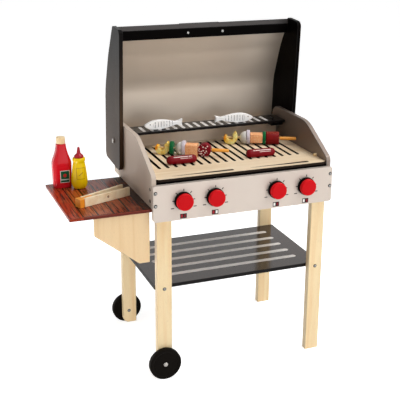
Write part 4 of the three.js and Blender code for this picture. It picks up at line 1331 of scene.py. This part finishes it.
def sausage_highlights(middle):
    def marks(finish, base):
        x, y, z = finish.axes(finish.here)
        u = finish.less(x, middle.x)
        rise = finish.less(z, middle.z)
        slant = finish.sum("ADD", finish.less(y, middle.y), finish.both(u, 0.05))
        front = finish.until(slant, -0.0015, -0.0005)
        # Pale streaks on the upper front, the lower front and the back, broken into dabs: painted
        # highlights.
        upper = finish.both(finish.stripe(rise, 0.0068, 0.0006, HIGHLIGHT_SOFT), front,
                            finish.stripe(u, 0.001, 0.019, HIGHLIGHT_END))
        lower = finish.both(finish.stripe(rise, 0.0040, 0.0005, HIGHLIGHT_SOFT), front,
                            finish.stripe(u, 0.007, 0.012, HIGHLIGHT_END))
        back = finish.both(finish.stripe(slant, 0.0015, 0.0007, HIGHLIGHT_SOFT),
                           finish.stripe(u, -0.003, 0.013, HIGHLIGHT_END),
                           finish.span(rise, 0.0, 0.001))
        painted_highlights = finish.both(finish.either(upper, lower, back),
                           finish.span(finish.noise(260.0, 2.0), 0.30, 0.42))
        return finish.mix(finish.both(painted_highlights, 0.9), base, (0.86, 0.72, 0.66))
    return marks


for node in ("sausage_1", "sausage_2"):
    red = lacquer(node + "_red", SAUSAGE_RED, 0.22, cloud=0.25, specular=0.1,
                  print_marks=sausage_highlights(middle_of(node)))
    dress(sausage(node), red, node, "dark_red_paint")


# %% Fish
SCALE_PITCH = 0.0064


def fish_print(middle, way, length):
    def marks(finish, base):
        x, _, z = finish.axes(finish.here)
        u = finish.both(finish.less(x, middle.x), way)
        v = finish.less(z, middle.z)
        bars = finish.both(finish.stripe(finish.fold(u, SCALE_PITCH), 0, 0.0007, 0.0004),
                           finish.stripe(u, 0.0, 0.021, 0.0005),
                           finish.stripe(v, 0.0005, 0.0062, 0.0012))
        broken = finish.span(finish.noise(300.0, 2.0), 0.35, 0.5)
        from_eye = finish.reach(finish.sum("ADD", u, length * 0.36), finish.less(v, 0.002))
        curve = finish.both(v, v, 60.0)
        gill = finish.both(finish.stripe(finish.less(u, curve), -length * 0.27, 0.0005, 0.0003),
                           finish.stripe(v, 0, 0.006, 0.0008))
        base = finish.mix(finish.both(bars, broken, 0.85), base, (0.12, 0.12, 0.13))
        base = finish.mix(finish.both(gill, 0.6), base, (0.22, 0.22, 0.23))
        return finish.mix(finish.until(from_eye, 0.0010, 0.0014), base, (0.03, 0.03, 0.035))
    return marks


def fish(node, way):
    white = lacquer(node + "_white", (1.0, 1.0, 0.99), 0.3, cloud=0.03,
                    print_marks=fish_print(middle_of(node), way, size_of(node).x))
    piece = copy_of(node, white)
    round_edges(piece, 0.0012)
    modify(piece, "SUBSURF", levels=2, render_levels=2)
    bpy.ops.object.shade_smooth_by_angle(angle=math.radians(50))
    return settle(piece, node, "white_paint")


fishes = [fish("fish_1", 1), fish("fish_2", -1)]
print("Fish faces:", [len(piece.data.polygons) for piece in fishes])

# %% [markdown]
# ## Kebabs
# A kebab is a stick with six morsels threaded on it. Each morsel is its own small
# board or disc in the CAD model, with a hole for the stick. Their finishes tell them
# apart: a speckled yellow shrimp with an orange tail, felt slices, a pale mushroom,
# grained salmon, dotted salami and seared beef.

# %% Kebab finishes
def felt(name, colour):
    finish = Finish(name)
    fuzz = finish.noise(2200.0, 4.0, rough=0.7)
    clumps = finish.both(fuzz, finish.noise(420.0, 3.0))
    finish.set(base_color=finish.mix(clumps, shade(colour, 0.65), shade(colour, 1.5)),
               roughness=finish.span(fuzz, 0.2, 0.8, 0.85, 1.0),
               sheen_weight=0.12, sheen_roughness=0.5, specular_ior_level=0.1)
    finish.bump(fuzz, 0.0004)
    return finish.material


def along_stick(finish, middle, aim):
    """How far along a stick a point lies, and how high, from a middle."""
    x, y, z = finish.axes(finish.placed(centre=tuple(middle)))
    return finish.sum("ADD", finish.both(x, aim.x), finish.both(y, aim.y)), z


def shrimp_finish(name, middle, aim):
    """Yellow with brown specks, turning orange towards the tail."""
    finish = Finish(name)
    along, rise = along_stick(finish, middle, aim)
    specks = finish.span(finish.noise(420.0, 2.0), 0.6, 0.68)
    clouds = finish.noise(120.0, 3.0)
    base = finish.mix(finish.span(clouds, 0.3, 0.7), (1.0, 0.60, 0.06), (1.0, 0.92, 0.38))
    tail = finish.both(finish.until(along, -0.012, -0.007), finish.span(rise, -0.006, -0.001))
    base = finish.mix(tail, base, (0.92, 0.33, 0.01))
    base = finish.mix(finish.both(specks, 0.6), base, (0.50, 0.16, 0.02))
    finish.set(base_color=base, roughness=finish.span(clouds, 0.3, 0.7, 0.35, 0.5),
               specular_ior_level=0.15)
    finish.bump(clouds, 0.0002)
    return finish.material


def salmon_finish():
    finish = Finish("salmon_grain")
    lines = finish.noise(380.0, 4.0, rough=0.7, twist=1.5)
    base = finish.mix(finish.span(lines, 0.42, 0.62), (1.0, 0.58, 0.30), (0.88, 0.30, 0.11))
    finish.set(base_color=base, roughness=finish.span(lines, 0.3, 0.7, 0.5, 0.65),
               specular_ior_level=0.12)
    finish.bump(lines, 0.00015)
    return finish.material


def meat_finish(name, colour, dots, aim, scale):
    """Dark red with pale dots where a face looks along aim."""
    finish = Finish(name)
    normal = finish.add("ShaderNodeNewGeometry").outputs["Normal"]
    facing = finish.add("ShaderNodeVectorMath", [normal, aim], operation="DOT_PRODUCT")
    on_face = finish.span(finish.size(facing.outputs["Value"]), 0.75, 0.85)
    spot = finish.until(finish.cells(scale), 0.30, 0.38)
    clouds = finish.noise(160.0, 4.0)
    base = finish.mix(clouds, shade(colour, 0.7), shade(colour, 1.4))
    base = finish.mix(finish.both(spot, on_face), base, dots)
    finish.set(base_color=base, roughness=finish.span(clouds, 0.3, 0.7, 0.3, 0.45),
               specular_ior_level=0.08)
    finish.bump(finish.noise(700.0, 2.0), 0.0001)
    return finish.material


# %% Kebabs
STICK_LENGTH = 0.160
STICK_RADIUS = 0.002
STICK_POINT_RADIUS = 0.0012
HANDLE_START = 0.125
HANDLE_RADIUS = 0.0035
HANDLE_EDGE = 0.0005
PAINT_START = 0.0440
UP = Vector((0, 0, 1))
MORSELS = (
    ("green_ring", felt("green_felt", (0.006, 0.15, 0.042)), "green_felt", 0.0012),
    ("lilac_ring", felt("lilac_felt", (0.84, 0.71, 0.83)), "lilac_felt", 0.0012),
    ("mushroom", lacquer("mushroom_white", (0.74, 0.71, 0.66), 0.45, cloud=0.12, specular=0.12),
     "white_paint", 0.0006),
    ("salmon", salmon_finish(), "salmon_paint", 0.0010))


def soft_copy(node, material, slot, width):
    """A morsel with well rounded edges."""
    piece = copy_of(node, material)
    round_edges(piece, width, 3, 40)
    return settle(piece, node, slot)


def stick(node, aim):
    foot = middle_of(node) - aim * (STICK_LENGTH / 2)
    thick = HANDLE_RADIUS - HANDLE_EDGE
    outline = [(0, 0), (STICK_POINT_RADIUS, 0.0006), (STICK_RADIUS, 0.004),
               (STICK_RADIUS, HANDLE_START), (thick, HANDLE_START),
               (HANDLE_RADIUS, HANDLE_START + 0.0006), (HANDLE_RADIUS, STICK_LENGTH - 0.0012),
               (thick, STICK_LENGTH - 0.0004), (HANDLE_RADIUS - 0.0012, STICK_LENGTH),
               (0, STICK_LENGTH)]
    return turned(node + "_dressed", outline, foot, tuple(aim), 24)


def stick_finish(name, middle, aim):
    """Bare wood, with orange paint on the handle."""
    finish = Finish(name)
    along, _ = along_stick(finish, middle, aim)
    fibre = finish.noise(900.0, 3.0)
    paint = finish.span(along, PAINT_START, PAINT_START + 0.0006)
    bare = finish.mix(fibre, (0.80, 0.60, 0.36), (0.66, 0.44, 0.22))
    orange = finish.mix(fibre, (0.86, 0.32, 0.02), (0.90, 0.40, 0.05))
    finish.set(base_color=finish.mix(paint, bare, orange),
               roughness=finish.span(fibre, 0.3, 0.7, 0.38, 0.5))
    finish.bump(fibre, 0.00006)
    return finish.material


def kebab(name, last, last_finish):
    """A stick with six morsels. It runs from its tip, behind, to its handle, in front."""
    node = name + "_stick"
    run = size_of(node)
    aim = Vector((run.x, -run.y, 0)).normalized()
    dress(stick(node, aim), stick_finish(node + "_paint", middle_of(node), aim), node,
          "orange_paint")
    node = name + "_shrimp"
    shrimp = shrimp_finish(node + "_yellow", middle_of(node), aim)
    soft_copy(node, shrimp, "yellow_paint", 0.0022)
    for morsel, material, slot, width in MORSELS:
        soft_copy(f"{name}_{morsel}", material, slot, width)
    soft_copy(f"{name}_{last}", last_finish(aim), "dark_red_paint", 0.0012)
    print(name, "runs along", [round(value, 3) for value in aim])


def salami(aim):
    side = Vector((-aim.y, aim.x, 0))
    return meat_finish("kebab_1_salami_red", (0.20, 0.005, 0.012), (0.95, 0.78, 0.72), side, 230.0)


def beef(aim):
    return meat_finish("kebab_2_beef_brown", (0.20, 0.008, 0.008), (0.46, 0.14, 0.08), UP, 420.0)


kebab("kebab_1", "salami", salami)
kebab("kebab_2", "beef", beef)

# %% [markdown]
# ## Floor, light and background
# The photograph has a white background and soft light from all sides. The world gives
# much of the light, two large lamps in front and above add a direction, and four small
# ones lift the left side, the back and what is near the floor. The lamps are kept at a
# plain level, so that a colour looks about as it is written. Only what the camera, a reflection or
# a clear material sees of the world is pure white.

# %% Floor
FLOOR_SIZE = 14.0
FLOOR_GLOW = 0.7
WHITE = (1.0, 1.0, 1.0)


def white_floor():
    finish = Finish("white_floor")
    dust = finish.noise(6.0, 3.0)
    finish.set(base_color=finish.mix(dust, (0.86, 0.86, 0.86), (0.90, 0.90, 0.90)), roughness=0.9,
               emission_color=WHITE, emission_strength=finish.both(finish.seen_rays(), FLOOR_GLOW))
    return finish.material


clear_bench()
bpy.ops.mesh.primitive_plane_add(size=FLOOR_SIZE, location=(0, 0, 0))
floor = bpy.context.object
floor.name = "floor"
floor.data.materials.append(white_floor())

# %% World and lamps
WORLD_LEVELS = (0.15, 0.42)
WORLD_TURN = 0.7
LOOK_AT = (0.0, 0.0, 0.35)


def soft_world(left, right):
    """Even light from a white room that is dimmer on its left than on its right."""
    world = bpy.data.worlds.new("studio")
    bpy.context.scene.world = world
    world.use_nodes = True
    world.node_tree.nodes.clear()
    nodes = Nodes(world.node_tree)
    aside = nodes.axes(nodes.add("ShaderNodeTexCoord").outputs["Generated"])[0]
    level = nodes.span(aside, -WORLD_TURN, WORLD_TURN, left, right)
    light = nodes.add("ShaderNodeBackground", {"Color": WHITE, "Strength": level})
    shown = nodes.add("ShaderNodeBackground", {"Color": WHITE, "Strength": 1.0})
    mixed = nodes.add("ShaderNodeMixShader",
                      [nodes.seen_rays(), light.outputs[0], shown.outputs[0]])
    nodes.add("ShaderNodeOutputWorld", [mixed.outputs[0]])


def lamp(name, place, target, size, power):
    """A square soft lamp that looks at a point."""
    clear_bench()
    bpy.ops.object.light_add(type="AREA", location=place)
    light = bpy.context.object
    light.name = name
    light.rotation_euler = (Vector(target) - Vector(place)).to_track_quat("-Z", "Y").to_euler()
    light.data.shape = "SQUARE"
    light.data.size = size
    light.data.energy = power


soft_world(*WORLD_LEVELS)
lamp("front_softbox", (0.75, -1.5, 0.95), LOOK_AT, 1.4, 10.0)
lamp("top_softbox", (0.75, -0.4, 2.0), LOOK_AT, 1.2, 22.0)
lamp("left_fill", (-1.3, -0.2, 0.42), LOOK_AT, 0.5, 1.6)
lamp("back_fill", (-0.9, 0.9, 0.2), LOOK_AT, 0.5, 2.0)
lamp("low_front", (0.1, -1.6, 0.14), (-0.1, 0.2, 0.12), 0.8, 2.0)
lamp("low_left", (-0.62, -0.12, 0.06), (-0.1, 0.2, 0.15), 0.25, 2.4)
bpy.context.scene.view_settings.view_transform = "Standard"

# %% [markdown]
# ## Last step
# The screws' pattern piece is put away.

# %% Finish
bpy.data.objects.remove(first_head)
